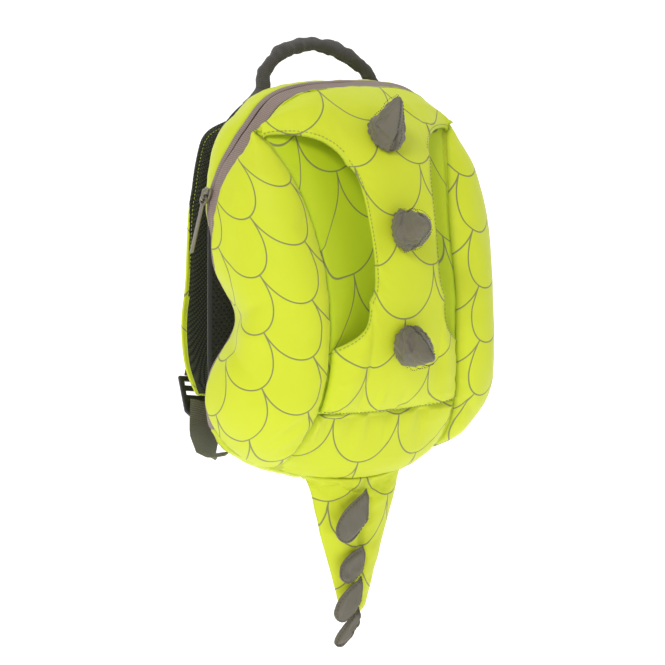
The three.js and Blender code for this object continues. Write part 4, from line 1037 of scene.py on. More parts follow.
def body_cloth():
    cloth = bpy.context.scene.rucksack_cloth
    middle = np.array([0, 0, HEIGHT * 0.5])
    plain_lime = lime_cloth("lime_cloth_plain", cloth.lime, printed=False)
    turned = lime_cloth("lime_cloth_cheek", cloth.lime, turn=math.radians(33), shift=(14, 9),
                        size=0.8, deep=1.14)
    upright = lime_cloth("lime_cloth_front", cloth.lime, shift=(6, 12))
    # The recessed centre panel takes the darker lime: painted shade for the recess.
    recess = lime_cloth("lime_cloth_recess_painted_shade", cloth.shade, shift=(30, 25))
    foot = lime_cloth("lime_cloth_base", cloth.lime, shift=(18, 4))

    zip_width = FRONT_TAPE_WIDTH + ZIP_SLIT + REAR_TAPE_WIDTH
    for node, rings, near, seed in (
            ("gusset_top", np.linspace(-ZIP_END, ZIP_END, 360), zip_width + 2 * PANEL_GAP, 11),
            ("gusset_bottom", np.linspace(ZIP_END + 0.02, LOOP - ZIP_END - 0.02, 170), PANEL_GAP, 12)):
        _, total = flank(rings, behind=np.array([0.0]))
        behind = near + (total[:, None] - near) * eased(26)[None]
        points, _ = flank(rings, behind=behind)
        s = np.broadcast_to(lengths(points[:, :1], 0), points.shape[:2])
        uv = np.stack([s, behind], -1)
        gathers = 0.8 * noise(s / 7.0, behind / 40, seed) * np.exp(-((behind - near) / 18) ** 2)
        outside = points - middle
        outside[..., 1] = 0
        sewn_panel(f"cloth_{node}", node, points, uv, outside, plain_lime, seed, extra=gathers, soft=1.3)

    for node, side, folds, seed in (("cheek_left", -1, LEFT_FOLDS, 21), ("cheek_right", 1, RIGHT_FOLDS, 22)):
        rings = np.linspace(CHEEK_TOP + 0.02, CHEEK_FOOT - 0.02, 175)
        points = cheek_grid(rings, eased(72))
        run = lengths(points, 1)
        s = np.abs(points[:, -1:, 0]) + run[:, -1:] - run
        uv = np.stack([s, points[..., 2]], -1)
        points[..., 0] *= side
        outside = points - middle
        outside[..., 1] -= HALF_WIDTH / 3
        sewn_panel(f"cloth_{node}", node, points, uv, outside, turned, seed, folds=folds, soft=1.4)

    # The allowance strips use a darker lime: painted shade in the slit between the panels.
    hem = lime_cloth("lime_cloth_allowance_painted_shade", tuple(v * 0.8 for v in cloth.lime[:3]) + (1,), printed=False)
    for label, side in (("left", -1), ("right", 1)):
        rings = np.linspace(CHEEK_TOP + 0.1, CHEEK_FOOT - 0.15, 150)
        cheek = cheek_grid(rings, np.array([0.93, 1.0]))
        front = centre_grid(rings, np.array([0.86, 0.94]))
        line = np.stack([cheek[:, 0], (cheek[:, 0] + cheek[:, 1]) / 2,
                         (cheek[:, 1] + front[:, 1]) / 2, front[:, 0]], 1)
        line = np.stack([column(line[k], np.linspace(0, 3, 9)) for k in range(len(rings))])
        line[..., 1] += 2.3
        line[..., 0] *= side
        uv = np.stack([lengths(line, 1), line[..., 2]], -1)
        facing = np.broadcast_to(np.array([0, -1.0, 0]), line.shape)
        strip = shell(f"seam_allowance_{label}", line, uv, facing, [hem],
                      0.2 * noise(line[..., 2] / 6, line[..., 0] / 6, 29), wall=0.9)
        settle(strip, [])

    forward = np.array([0, -1.0, 0])
    rings = np.linspace(CHEEK_TOP + 0.03, POCKET_SEAM - 0.03, 120)
    points = centre_grid(rings, 2 * eased(64) - 1)
    uv = np.stack([points[..., 0], -lengths(points, 0)], -1)
    sewn_panel("cloth_centre_panel", "centre_panel", points, uv, np.broadcast_to(forward, points.shape),
               recess, 31, soft=0.6)

    rings = np.linspace(POCKET_SEAM + 0.03, CHEEK_FOOT - 0.03, 70)
    points = centre_grid(rings, 2 * eased(72) - 1, RECESS_DIP * 0.7, EDGE_SET * 1.9)
    uv = np.stack([points[..., 0], -lengths(points, 0)], -1)
    down = -uv[..., 1]
    pleats = 2.4 * noise(uv[..., 0] / 5.0, down / 60, 41) * np.exp(-(down / 26) ** 2) * smoothstep(down, 0, 4)
    outside = np.broadcast_to(forward, points.shape).copy()
    outside[..., 2] = (points[..., 2] / HEIGHT - 0.2) * 6
    sewn_panel("cloth_base_panel", "base_panel", points, uv, outside, foot, 42, extra=pleats, soft=0.8)

    points, uv, keep, _, _ = stow_layout()
    down = -uv[..., 1]
    fullness = np.exp(-((points[..., 2] - 55) / 14) ** 2)
    gathers = 1.9 * noise(uv[..., 0] / 5.0, down / 50, 52) * fullness
    top_row = np.exp(-((points[..., 2] - 258) / 11) ** 2) * smoothstep(np.abs(points[..., 0]), 30, 42)
    gathers += 0.9 * noise(uv[..., 0] / 4.6, down / 30, 53) * top_row
    sewn_panel("cloth_stow_panel", "stow_panel", points, uv, np.broadcast_to(forward, points.shape),
               upright, 51, folds=((-46, -40, -34, -22, -0.9, 4), (40, -44, 30, -26, 0.9, 4)),
               extra=gathers, keep=keep, soft=0.6)


def stow_layout():
    """The stow panel's points, cloth coordinates, kept faces, rows and places across."""
    rows = np.concatenate([np.linspace(0, 2, 31)[:-1], np.linspace(2, 7, 64)[:-1], np.linspace(7, 11, 52)])
    across = np.concatenate([np.linspace(-6, -2, 27)[:-1], np.linspace(-2, 2, 37)[:-1],
                             np.linspace(2, 6, 27)])
    points = fit_stow(stow_grid(rows, across), rows, across)
    down = lengths(points, 0)
    foot = int(np.abs(rows - WINDOW_FOOT).argmin())
    edge = int(np.abs(across - 2).argmin())
    below = down[foot:foot + 1, edge:edge + 1] + (points[foot, edge, 2] - points[foot:foot + 1, :, 2])
    below = below + down[foot:] - down[foot:foot + 1]
    down = down + HEIGHT - points[:1, :, 2]
    below = below + HEIGHT - points[0, edge, 2]
    down[foot:] = np.where(np.abs(across)[None] > 2, below, down[foot:])
    uv = np.stack([points[..., 0], -down], -1)
    row_mid, across_mid = (rows[1:] + rows[:-1]) / 2, (across[1:] + across[:-1]) / 2
    window = (row_mid > WINDOW_TOP) & (row_mid < WINDOW_FOOT)
    keep = ~(window[:, None] & (np.abs(across_mid) > 2)[None])
    return points, uv, keep, rows, across


# The zip.
def zip_pieces():
    cloth_colour = (0.37, 0.28, 0.245, 1)
    tape = ribbed_cloth("zip_tape", cloth_colour, 1.5, 0.0003)
    coil = plain("zip_coil", (0.2, 0.15, 0.13, 1), 0.45)
    metal = plain("zip_metal", (0.36, 0.33, 0.28, 1), 0.34, metallic=1.0, grain=0.00002)
    rings = np.linspace(-ZIP_END, ZIP_END, 420)
    slit = PANEL_GAP + FRONT_TAPE_WIDTH
    middle = np.array([0, 0, HEIGHT * 0.5])
    for node, near, far, columns, seed in (
            ("zip_tape_front", -2.2, slit, 13, 61),
            ("zip_tape_rear", slit + ZIP_SLIT, slit + ZIP_SLIT + REAR_TAPE_WIDTH, 7, 62)):
        behind = np.linspace(near, far, columns)
        points, _ = flank(rings, behind=behind)
        run = np.broadcast_to(lengths(points[:, :1], 0), points.shape[:2])
        uv = np.stack([np.broadcast_to(behind, points.shape[:2]), run], -1)
        from_slit = np.abs(uv[..., 0] - (slit if near < slit else near))
        relief = 0.45 * np.exp(-((from_slit - 2.4) / 1.4) ** 2) - 0.4 * np.exp(-(from_slit / 0.8) ** 2)
        relief = relief + 0.3 * noise(run / 17, uv[..., 0] / 9, seed)
        outside = points - middle
        outside[..., 1] = 0
        settle(shell(f"cloth_{node}", points, uv, outside, [tape], relief, wall=1.0), [node])
    coil_rings = np.linspace(-ZIP_END + 0.05, ZIP_END - 0.05, 420)
    middle_line, _ = flank(coil_rings, behind=np.array([slit - 1.8, slit + 2.7]))
    outward = rim_outward(coil_rings)
    line = middle_line.mean(1) - outward * 2.2
    across = unit(middle_line[:, 1] - middle_line[:, 0])
    turns = sewn_rows("zip_coil_turns", [line], 0.0016, 0.0046, 0.0011, coil, [across])
    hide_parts("zip_coil")
    bevelled("zip_slider", "slider_body", 0.00035, metal)
    bevelled("zip_puller", "slider_puller", 0.0003, metal, "puller")


# The handle, the back panel and the straps.
def grab_handle():
    webbing = ribbed_cloth("taupe_webbing_handle", (0.1, 0.093, 0.08, 1), 1.5, 0.0008)
    root = flank(1.4, share=np.array([0.9]))[0][0, 0]
    top, foot = HEIGHT + HANDLE_RISE + 5.8, root[2] + 4.4
    at = np.linspace(0, 9, 190)
    line = np.stack([column(HANDLE[:, 0], at) * HANDLE_HALF_SPAN, np.full(len(at), root[1]),
                     foot + column(HANDLE[:, 1], at) * (top - foot)], 1)
    feet = []
    for end, way in ((line[0], -1), (line[-1], 1)):
        steps = np.linspace(1, 0, 26)[:-1, None] if way < 0 else np.linspace(0, 1, 26)[1:, None]
        drop, splay = np.array([way * 5.0, 1.0, -11.0]), np.array([way * 5.0, 0, 0])
        feet.append(end + steps * drop + steps ** 2 * splay)
    line = np.vstack([feet[0], line, feet[1]])
    ahead = unit(np.gradient(line, axis=0))
    side = np.array([0, 1.0, 0])
    lift = unit(np.cross(ahead, side))
    run = lengths(line, 0)
    around = 44
    turn = np.arange(around) / around * 2 * np.pi
    ends = np.minimum(run, run[-1] - run)
    flat = 1 - smoothstep(ends, 9, 30)
    wrinkle = noise(run[:, None] / 6.5, turn[None] * 0.8, 71) * 0.8
    wrinkle = wrinkle + noise(run[:, None] / 3.1, turn[None] * 1.3, 72) * 0.4
    bulge = 0.45 * np.sin(run / 7.2) + 0.25 * np.sin(run / 3.7 + 1)
    radius = HANDLE_RADIUS + bulge[:, None] * (1 - flat[:, None]) + wrinkle
    seam = 0.9 * np.exp(-((turn - 4.4) / 0.16) ** 2)
    radius = radius * (1 - 0.1 * flat[:, None]) - seam[None]
    wide = radius * (1 + 1.15 * flat[:, None])
    deep = radius * (1 - 0.62 * flat[:, None])
    rings = line[:, None] + side * (np.cos(turn)[None] * wide)[..., None]
    rings = rings + lift[:, None] * (np.sin(turn)[None] * deep)[..., None]
    obj = lofted("handle_webbing", rings, [webbing], shade=np.broadcast_to(seam[None], radius.shape))
    settle(obj, ["grab_handle"])


def padded_back():
    spacer = mesh_cloth("black_mesh_back", (0.014, 0.015, 0.009, 1), (0.003, 0.003, 0.002, 1), 4.6)
    binding = ribbed_cloth("back_binding", (0.02, 0.02, 0.016, 1), 0.9, 0.00015)
    around = 240
    places = np.arange(around) / around * LOOP
    edge = on_loop(BACK_LOOP, places)
    heart = np.array([0, 0, HEIGHT * 0.49])
    away = edge - heart
    away[:, 1] = 0
    reach = np.linalg.norm(away, axis=1)
    away = away / reach[:, None]
    rings = []
    for step in range(5):
        t = step / 4
        grow = 0.4 + 1.4 * math.sin(math.pi * t * 0.7)
        rings.append(heart + away * (reach + grow)[:, None] + np.array([0, -BACK_PAD_FACE + 4.6 * t, 0]))
    for share in 1 - np.linspace(0.004, 0.985, 74) ** 1.15:
        ring = heart + away * (reach * share)[:, None]
        x, z = ring[:, 0], ring[:, 2]
        from_edge = reach * (1 - share)
        dome = smoothstep(from_edge, 0, 15) ** 0.7 * 7.0
        groove = sum(np.exp(-((z - level - 5 * np.abs(x) / 60) / 3.4) ** 2) for level in (72, 128, 184, 240))
        groove = groove + np.exp(-(x / 3.4) ** 2)
        dome = dome - 3.6 * np.minimum(groove, 1) * smoothstep(from_edge, 3, 16)
        ring[:, 1] = -BACK_PAD_FACE + 4.6 + dome + 0.25 * noise(x / 13, z / 16, 81)
        rings.append(ring)
    rings = np.array(rings)
    chosen = np.zeros((len(rings) - 1, around), int)
    chosen[:5] = 1
    obj = lofted("back_padding", rings, [spacer, binding], face_material=chosen)
    front_uv(obj, rings)
    settle(obj, ["back_panel"])


def strap_frames(side, rows):
    """The strap's centre line, its directions wide and thick, and half its width."""
    centre = np.stack([column(STRAP[:, 0], rows) * HALF_WIDTH * side, column(STRAP[:, 2], rows) * DEPTH,
                       column(STRAP[:, 1], rows) * HEIGHT], 1)
    arch = smoothstep(rows, 0, 1.3) * (1 - smoothstep(rows, 3.2, 6))
    centre = centre + np.array([side * STRAP_ARCH[0], STRAP_ARCH[1], 0]) * arch[:, None]
    ahead = unit(np.gradient(centre, axis=0))
    wide = unit(np.array([1.0, 0, 0]) - ahead * ahead[:, :1])
    thick = unit(np.cross(ahead, wide))
    thick = thick * np.sign(thick[:, 1:2])
    half = column(STRAP[:, 3], rows) * STRAP_HALF
    return centre, wide, thick, half


def strap_pieces():
    cloth = bpy.context.scene.rucksack_cloth
    cover = lime_cloth("strap_cover", cloth.lime, shift=(10, 5))
    # The holes' colour is the lime beneath, painted dark as shade under the mesh.
    inner = mesh_cloth("black_mesh_strap", (0.013, 0.015, 0.007, 1), (0.045, 0.06, 0.007, 1), 3.0)
    webbing = ribbed_cloth("taupe_webbing", (0.165, 0.16, 0.105, 1), 1.5, 0.0003)
    black = plain("black_plastic", (0.012, 0.012, 0.012, 1), 0.42, grain=0.00003)
    thread = plain("lime_thread", (0.62, 0.72, 0.09, 1), 0.7)
    around = 72
    turn = np.arange(around) / around * 2 * np.pi
    for label, side in (("left", -1), ("right", 1)):
        rows = np.linspace(0, len(STRAP) - 1, 150)
        centre, wide, thick, half = strap_frames(side, rows)
        place = np.sign(np.cos(turn)) * np.abs(np.cos(turn)) ** 0.62
        run = lengths(centre, 0)
        inside = np.clip(np.abs(place) / 0.86, 0, 1)
        body = 1.25 + 3.1 * (1 - inside ** 3.2) ** 0.5
        deep = np.sign(np.sin(turn)) * body * np.minimum(1, np.abs(np.sin(turn)) * 3.5)
        ripple = 0.35 * noise(run[:, None] / 9, place[None] * 2.2, 91)
        ripple = ripple * smoothstep(1 - np.abs(place), 0, 0.3)[None]
        ends = np.minimum(run, run[-1] - run)
        press = 0.45 + 0.55 * smoothstep(ends, 0, 10)
        rings = (centre[:, None] + wide[:, None] * (place[None] * half[:, None])[..., None]
                 + thick[:, None] * ((deep[None] + ripple * np.sign(deep)[None]) * press[:, None])[..., None])
        middle = (turn + np.pi / around)
        bare = (1 - smoothstep(rows[:-1], 1.5, 6.5))[:, None]
        inner_side = np.sin(middle)[None] < 0.35 * bare
        inside_binding = np.abs(np.cos(middle))[None] ** 0.62 < 0.86 + 0.2 * bare
        chosen = (inner_side & inside_binding).astype(int)
        # Painted shade along the groove at the binding's edge, through the seam_shade attribute.
        groove = np.exp(-((np.abs(place) - 0.86) / 0.03) ** 2)
        obj = lofted(f"strap_{label}", rings, [cover, inner], face_material=chosen,
                     shade=np.broadcast_to(groove[None], rings.shape[:2]))
        settle(obj, [f"shoulder_strap_{label}"])
        lines = []
        for edge in (-1, 1):
            for face in (-1, 1):
                aside = wide[6:-4] * (edge * 0.9 * half[6:-4])[:, None]
                lines.append(centre[6:-4] + aside + thick[6:-4] * face * 1.75)
        sewn_rows(f"strap_stitches_{label}", lines, 0.003, 0.0021, 0.0005, thread)
        bevelled(f"ladder_lock_{label}", f"strap_lock_{label}", 0.0008, black)
        for node, name in ((f"strap_tab_{label}", f"lock_tab_{label}"),
                           (f"lower_webbing_{label}", f"webbing_{label}")):
            ribbon_from_node(node, name, webbing)


def ribbon_from_node(node, name, material):
    """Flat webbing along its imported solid, with a rounded edge and its ribs across it."""
    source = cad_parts[node].data
    co = np.zeros(len(source.vertices) * 3)
    source.vertices.foreach_get("co", co)
    points = np.unique(np.round(co.reshape(-1, 3), 7), axis=0)
    low = points.mean(0)
    _, _, axes = np.linalg.svd(points - low, full_matrices=False)
    obj = bpy.data.objects.new(name, source.copy())
    bpy.context.scene.collection.objects.link(obj)
    obj.data.materials.clear()
    obj.data.materials.append(material)
    weld = obj.modifiers.new("weld", "WELD")
    weld.merge_threshold = 0.00002
    edge = obj.modifiers.new("edge", "BEVEL")
    edge.width = 0.0004
    edge.segments = 2
    edge.limit_method = "ANGLE"
    edge.angle_limit = math.radians(25)
    baked(obj)
    mesh = obj.data
    co = np.zeros(len(mesh.vertices) * 3)
    mesh.vertices.foreach_get("co", co)
    flat = (co.reshape(-1, 3) - low) @ axes.T
    layer = mesh.uv_layers.get("cloth") or mesh.uv_layers.new(name="cloth")
    corner = np.zeros(len(mesh.loops), np.int64)
    mesh.loops.foreach_get("vertex_index", corner)
    layer.data.foreach_set("uv", (flat[corner][:, [1, 0]] * 10).astype(np.float32).ravel())
    mesh.polygons.foreach_set("use_smooth", np.ones(len(mesh.polygons), bool))
    mesh.set_sharp_from_angle(angle=math.radians(50))
    return settle(obj, [node])


# The spikes and the tail.
SPIKES = (("spike_top", 1.68, 48.0, 101), ("spike_middle", 4.28, 12.0, 102), ("spike_lower", 8.05, -8.0, 103))
SPIKE_SHAPE = np.array([[0, 0.9], [0.06, 1.0], [0.2, 1.02], [0.4, 0.93], [0.6, 0.74], [0.78, 0.5],
                        [0.9, 0.31], [0.97, 0.17], [1, 0.05]])


def spike_pieces():
    taupe = taupe_cloth()
    thread = plain("dark_thread", (0.035, 0.03, 0.022, 1), 0.7)
    around, along = 56, np.linspace(0, 1, 30)
    size = np.interp(along, SPIKE_SHAPE[:, 0], SPIKE_SHAPE[:, 1])
    turn = np.arange(around) / around * 2 * np.pi
    across = np.array([1.0, 0, 0])
    lines = []
    for node, row, rise, seed in SPIKES:
        seat, ahead, behind = (stow_grid([row + step], [-0.25])[0, 0] for step in (0, 0.11, -0.11))
        slope = unit(ahead - behind)
        normal = unit(np.cross(across, slope))
        normal = -normal if normal[1] > 0 else normal
        lean = math.radians(rise)
        aim = unit(np.array([-0.14, -math.cos(lean), math.sin(lean)]))
        rings = []
        for a, grown in zip(along, size):
            centre = seat + normal * (0.3 + SPIKE_LENGTH * a * (1 - a) * 0.5)
            centre = centre + aim * (SPIKE_LENGTH * a * (0.5 + 0.5 * a))
            axis = unit(normal + (aim - normal) * min(1, a * 1.5))
            high = unit(np.cross(across, axis))
            crease = 1 - np.abs(noise(turn * 1.1 + a * 2, a * 4.5, seed + 4)) * 2.2
            soft = 1 + 0.06 * noise(turn * 1.4, a * 5, seed) - 0.13 * np.clip(crease, 0, 1) ** 2
            soft = soft + 0.04 * noise(turn * 3.4, a * 10, seed + 9)
            seam = np.exp(-((np.abs(np.sin(turn)) - 1) / 0.012) ** 2)
            gather = 0.09 * np.sin(turn * 17 + seed + noise(turn * 3, 0.0, seed)) * math.exp(-(a / 0.12) ** 2)
            grow = grown * (soft - 0.07 * seam + gather)
            ring = centre + across * (np.cos(turn) * SPIKE_HALF_WIDTH * grow)[:, None]
            rings.append(ring + high * (np.sin(turn) * SPIKE_HALF_HEIGHT * grow)[:, None])
        rings = np.array(rings)
        seam = np.exp(-((np.abs(np.sin(turn)) - 1) / 0.008) ** 2)
        # Painted shade at the spike's root against the body and along its side seams.
        shade = np.maximum(seam[None] * 0.8, np.exp(-(along / 0.035) ** 2)[:, None])
        obj = lofted(f"{node}_cloth", rings, [taupe], shade=shade)
        pinned = np.concatenate([np.repeat((along < 0.04).astype(float), around), [1, 0]])
        tight = np.concatenate([np.broadcast_to(seam[None], shade.shape).ravel(), [0, 0]])
        puff_up(obj, pinned, tight, 12.0, 0.0025)
        baked(obj, 1)
        settle(obj, [node])
        for k in (around // 4, around * 3 // 4):
            for step in (-2, 2):
                lines.append(rings[1:-2, (k + step) % around])
    sewn_rows("spike_stitches", lines, 0.0026, 0.0018, 0.00055, thread)


TAIL_MIDDLE, TAIL_LENGTH = 61.0, 112.0
FINS = ((0.05, 0.24, 0.3, 1.0), (0.45, 0.19, 0.2, 0.78), (0.66, 0.2, 0.26, 0.86), (0.88, 0.13, 0.24, 0.8))


def tail_size(share):
    narrow = 1 - 0.8 * share ** 0.85
    return 49 * narrow, 16 * (0.35 + 0.65 * (1 - share))


def tail_pieces():
    cloth = bpy.context.scene.rucksack_cloth
    printed = lime_cloth("lime_cloth_tail", cloth.lime, shift=(2, 20))
    taupe = bpy.data.materials.get("spike_cloth") or taupe_cloth()
    thread = plain("taupe_thread", (0.09, 0.08, 0.06, 1), 0.7)
    around, along = 96, eased(60, 0.3)
    turn = np.arange(around) / around * 2 * np.pi
    rings = []
    for share in along:
        half, thick = tail_size(share)
        tip = math.sqrt(max(0.02, 1 - max(0, (share - 0.93) / 0.07) ** 2))
        x = np.cos(turn)
        lens = np.sign(np.sin(turn)) * (1 - x ** 2) ** 0.62
        half = half * (1 + 0.045 * noise(share * 7, np.sign(x) * 3.5, 113) * smoothstep(share, 0, 0.15))
        seam = 3.0 * np.exp(-(x * half / 2.6) ** 2) * (np.sin(turn) > 0)
        waves = 1.8 * noise(x * half / 16, share * 9, 111) + 0.8 * noise(x * half / 7, share * 22, 112)
        fwd = TAIL_MIDDLE + lens * thick * tip + (waves * np.abs(lens) - seam) * np.sign(np.sin(turn) + 0.01)
        tuck = (5.5 * x ** 2 + 1.2) * (1 - share) ** 6
        rings.append(np.stack([x * half * tip, -fwd, tuck - 0.6 - TAIL_LENGTH * share], 1))
    rings = np.array(rings)
    x = np.cos(turn)
    edge = np.exp(-((np.abs(x) - 1) / 0.01) ** 2)
    centre = np.exp(-((x * 30) / 2.0) ** 2) * (np.sin(turn) > 0)
    # Painted shade along the tail's side seams and its centre seam.
    shade = np.broadcast_to((np.maximum(edge, centre))[None] * 0.8, rings.shape[:2])
    obj = lofted("tail_cloth", rings, [printed], shade=shade)
    front_uv(obj, rings)
    pinned = np.concatenate([np.repeat((along < 0.03).astype(float), around), [1, 0]])
    tight = np.concatenate([np.broadcast_to(np.maximum(edge, centre)[None], shade.shape).ravel(), [0, 0]])
    puff_up(obj, pinned, tight, 6.0, 0.004)
    baked(obj, 1)
    settle(obj, ["tail"])

    lines = []
    for number, (begin, long, drop, reach) in enumerate(FINS, 1):
        lines.append(fin_piece(number, begin, long, drop, reach, taupe))
    sewn_rows("fin_stitches", lines, 0.003, 0.002, 0.00055, thread)


def fin_piece(number, begin, long, drop, reach, material):
    """One flopped fin on the tail's centre seam; gives back its line of stitches."""
    height, fall, side = long * TAIL_LENGTH, drop * TAIL_LENGTH, reach * 30
    u = np.linspace(0, 1, 34)
    top = np.stack([-2 * u * (1 - u) * side * 0.75 - u ** 2 * side,
                    -2 * u * (1 - u) * fall * 0.55 - u ** 2 * fall], 1)
    low = np.stack([-2 * u * (1 - u) * side * 0.5 - u ** 2 * side,
                    -height * (1 - u) ** 2 - 2 * u * (1 - u) * fall * 1.25 - u ** 2 * fall], 1)
    line = (top + low) / 2
    aside = unit((top - low) + np.array([-0.02, 0.03]))
    half = height * 0.5 * np.sqrt(np.clip(1 - u ** 3.0, 0.0015, 1)) * (0.92 + 0.22 * np.sin(np.pi * u))
    _, thick = tail_size(begin)
    base = np.array([0, -(TAIL_MIDDLE + thick + 0.3 + 2.5), -0.6 - TAIL_LENGTH * begin])
    around = 48
    turn = np.arange(around) / around * 2 * np.pi
    place = np.sign(np.cos(turn)) * np.abs(np.cos(turn)) ** 0.7

    def spot(k, across, deep):
        flat = line[k] + aside[k] * (half[k] * across)
        curl = -1.6 * u[k] ** 2 + 0.8 * noise(u[k] * 4, across * 2.2, 120 + number)
        return base + np.array([flat[0], curl - deep, flat[1]])

    rings = []
    for k in range(len(u)):
        edge_gap = (1 - np.abs(place)) * half[k]
        stuffed = 0.75 + 1.7 * smoothstep(np.minimum(edge_gap, (1 - u[k]) * 30), 1.6, 5)
        deep = np.sign(np.sin(turn)) * np.minimum(1, np.abs(np.sin(turn)) * 3) * stuffed
        rings.append([spot(k, place[j], deep[j]) for j in range(around)])
    rings = np.array(rings)
    # Painted shade at the fin's root, where it meets the tail.
    shade = np.exp(-(u / 0.05) ** 2)[:, None] * np.ones((1, around)) * 0.7
    obj = lofted(f"tail_fin_{number}_cloth", rings, [material], shade=shade)
    pinned = np.concatenate([np.repeat((u < 0.05).astype(float), around), [1, 0]])
    outer = (np.abs(place) > 0.97).astype(float)
    tight = np.concatenate([np.broadcast_to(outer[None], shade.shape).ravel(), [0, 0]])
    puff_up(obj, pinned, tight, 4.0, 0.001, growth=0.02)
    baked(obj, 1)
    settle(obj, [f"tail_fin_{number}"])
    inner = [(k, 1 - 2.6 / max(half[k], 3)) for k in range(1, len(u) - 3)]
    there = [spot(k, share, 1.75) for k, share in inner]
    back = [spot(k, -share, 1.75) for k, share in reversed(inner)]
    return np.array(there + back)


# The rows of stitches on the body.
def body_stitches():
    pale = plain("pale_thread", (0.36, 0.42, 0.06, 1), 0.7)
    sewing = bpy.context.scene.rucksack_sewing
    points, _, _, rows, across = stow_layout()
    normal = grid_normals(points, np.broadcast_to(np.array([0, -1.0, 0]), points.shape))
    raised = points + normal * 0.35

    def row_line(place, low, high):
        k = int(np.abs(rows - place).argmin())
        chosen = (across >= low) & (across <= high)
        return raised[k, chosen]

    def across_line(place, low, high):
        k = int(np.abs(across - place).argmin())
        chosen = (rows >= low) & (rows <= high)
        return raised[chosen, k]

    lines = [row_line(1.86, -5.9, -2.1), row_line(1.86, 2.1, 5.9), row_line(7.12, -5.9, -2.1),
             row_line(7.12, 2.1, 5.9), row_line(10.75, -5.9, 5.9),
             across_line(-1.85, 2, 7), across_line(1.85, 2, 7)]
    sewn_rows("body_stitches", lines, sewing.stitch_pitch, sewing.stitch_pitch * 0.72, 0.00068, pale)


# The floor, light and camera.
def stage():
    settings = bpy.context.scene.rucksack_stage
    scene = bpy.context.scene
    scene.view_settings.view_transform = "Standard"
    item, tree, shader = new_material("pale_floor", 0.9)
    cloud = tree.nodes.new("ShaderNodeTexNoise")
    place = tree.nodes.new("ShaderNodeTexCoord")
    cloud.inputs["Scale"].default_value = 2.0
    tree.links.new(place.outputs["Object"], cloud.inputs["Vector"])
    pale = mixed(tree, cloud.outputs[0], (0.93, 0.93, 0.93, 1), (0.96, 0.96, 0.96, 1))
    tree.links.new(pale, shader.inputs["Base Color"])
    shader.inputs["Emission Color"].default_value = (1, 1, 1, 1)
    shader.inputs["Emission Strength"].default_value = 0.45
    turn = settings.azimuth
    ahead = np.array([-math.sin(turn), math.cos(turn)])
    right = np.array([ahead[1], -ahead[0]])
    floor, bend = -0.62, 1.2
    profile = [(-4.0, floor), (bend, floor)]
    profile += [(bend + bend * math.sin(a), 0.58 - bend * math.cos(a))
                for a in np.linspace(0.1, math.pi / 2, 14)]
    profile += [(2.4, 4.0)]
    points = [[*(ahead * d + right * w), z] for d, z in profile for w in (-5.0, 5.0)]
    faces = [(2 * k, 2 * k + 1, 2 * k + 3, 2 * k + 2) for k in range(len(profile) - 1)]
    make_mesh("pale_sweep", points, faces, [item], in_frame=True)

    world = scene.world or bpy.data.worlds.new("studio")
    scene.world = world
    world.use_nodes = True
    back = next(node for node in world.node_tree.nodes if node.type == "BACKGROUND")
    back.inputs["Color"].default_value = (1, 1, 1, 1)
    back.inputs["Strength"].default_value = 0.38
    aim = Vector((-0.0128, -0.0417, -0.2062))
    for name, where, size, power in (("key", (-1.6, -1.15, 1.15), 0.7, 22),
                                     ("fill", (1.2, -1.8, 0.7), 1.2, 5),
                                     ("top", (0.2, 0.6, 1.7), 1.2, 9)):
        lamp = bpy.data.lights.new(name, "AREA")
        lamp.size, lamp.energy = size, power
        obj = bpy.data.objects.new(name, lamp)
        obj.location = where
        obj.rotation_euler = (aim - Vector(where)).to_track_quat("-Z", "Y").to_euler()
        scene.collection.objects.link(obj)
    camera = bpy.data.cameras.new("camera")
    camera.sensor_width = 36
    camera.angle = math.radians(14.12)
    obj = bpy.data.objects.new("camera", camera)
    up = settings.elevation
    away = Vector((math.sin(turn) * math.cos(up), -math.cos(turn) * math.cos(up), math.sin(up)))
    obj.location = aim + away * settings.distance
    look = (-away).to_track_quat("-Z", "Y").to_matrix()
    obj.rotation_euler = (look @ Matrix.Rotation(settings.roll, 3, "Z")).to_euler()
    scene.collection.objects.link(obj)
    scene.camera = obj


# The add-on's operators and panel.
class RUCKSACK_OT_stage(bpy.types.Operator):
    """Set the floor, the light and the camera"""

    bl_idname = "rucksack.stage"
    bl_label = "Stage"
    bl_options = {"REGISTER", "UNDO"}

    def execute(self, context):
        stage()
        return {"FINISHED"}


class RUCKSACK_OT_body(bpy.types.Operator):
    """Sew the panels of the body"""

    bl_idname = "rucksack.body"
    bl_label = "Body cloth"
    bl_options = {"REGISTER", "UNDO"}

    def execute(self, context):
        body_cloth()
        return {"FINISHED"}


class RUCKSACK_OT_stitches(bpy.types.Operator):
    """Topstitch the windows and the pocket"""

    bl_idname = "rucksack.stitches"
    bl_label = "Topstitching"
    bl_options = {"REGISTER", "UNDO"}

    def execute(self, context):
        body_stitches()
        return {"FINISHED"}


class RUCKSACK_OT_zip(bpy.types.Operator):
    """Make the zip's tapes, coil, slider and puller"""

    bl_idname = "rucksack.zip"
    bl_label = "Zip"
    bl_options = {"REGISTER", "UNDO"}

    def execute(self, context):
        zip_pieces()
        return {"FINISHED"}


class RUCKSACK_OT_handle(bpy.types.Operator):
    """Wrap the grab handle in webbing"""

    bl_idname = "rucksack.handle"
    bl_label = "Grab handle"
    bl_options = {"REGISTER", "UNDO"}

    def execute(self, context):
        grab_handle()
        return {"FINISHED"}


class RUCKSACK_OT_back(bpy.types.Operator):
    """Pad and quilt the back panel"""

    bl_idname = "rucksack.back"
    bl_label = "Back panel"
    bl_options = {"REGISTER", "UNDO"}

    def execute(self, context):
        padded_back()
        return {"FINISHED"}


class RUCKSACK_OT_straps(bpy.types.Operator):
    """Make the shoulder straps, their locks, tabs and webbing"""

    bl_idname = "rucksack.straps"
    bl_label = "Straps"
    bl_options = {"REGISTER", "UNDO"}

    def execute(self, context):
        strap_pieces()
        return {"FINISHED"}


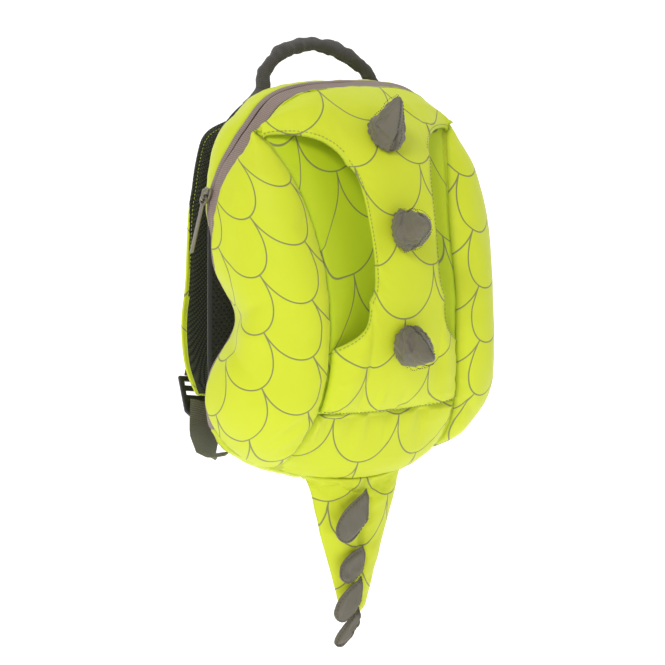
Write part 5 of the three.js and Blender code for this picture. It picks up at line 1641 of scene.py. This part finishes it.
class RUCKSACK_OT_spikes(bpy.types.Operator):
    """Stuff the three spikes"""

    bl_idname = "rucksack.spikes"
    bl_label = "Spikes"
    bl_options = {"REGISTER", "UNDO"}

    def execute(self, context):
        spike_pieces()
        return {"FINISHED"}


class RUCKSACK_OT_tail(bpy.types.Operator):
    """Stuff the tail and its fins"""

    bl_idname = "rucksack.tail"
    bl_label = "Tail and fins"
    bl_options = {"REGISTER", "UNDO"}

    def execute(self, context):
        tail_pieces()
        return {"FINISHED"}


OPERATORS = (RUCKSACK_OT_stage, RUCKSACK_OT_body, RUCKSACK_OT_stitches, RUCKSACK_OT_zip, RUCKSACK_OT_handle,
             RUCKSACK_OT_back, RUCKSACK_OT_straps, RUCKSACK_OT_spikes, RUCKSACK_OT_tail)
GROUPS = (RucksackCloth, RucksackSewing, RucksackStage)


class RUCKSACK_PT_panel(bpy.types.Panel):
    """Lists the rucksack's pieces and its settings"""

    bl_idname = "RUCKSACK_PT_panel"
    bl_label = "Animal Rucksack"
    bl_space_type = "VIEW_3D"
    bl_region_type = "UI"
    bl_category = "Rucksack"

    def draw(self, context):
        for kind in OPERATORS:
            self.layout.operator(kind.bl_idname)
        scene = context.scene
        for settings in (scene.rucksack_cloth, scene.rucksack_sewing, scene.rucksack_stage):
            for name in settings.bl_rna.properties.keys():
                if name not in {"rna_type", "name"}:
                    self.layout.prop(settings, name)


def register():
    for kind in (*GROUPS, *OPERATORS, RUCKSACK_PT_panel):
        bpy.utils.register_class(kind)
    bpy.types.Scene.rucksack_cloth = PointerProperty(type=RucksackCloth)
    bpy.types.Scene.rucksack_sewing = PointerProperty(type=RucksackSewing)
    bpy.types.Scene.rucksack_stage = PointerProperty(type=RucksackStage)


def unregister():
    del bpy.types.Scene.rucksack_stage, bpy.types.Scene.rucksack_sewing, bpy.types.Scene.rucksack_cloth
    for kind in (RUCKSACK_PT_panel, *reversed(OPERATORS), *reversed(GROUPS)):
        bpy.utils.unregister_class(kind)


def main():
    register()
    for kind in OPERATORS:
        family, name = kind.bl_idname.split(".")
        getattr(getattr(bpy.ops, family), name)()


if __name__ == "__main__":
    main()
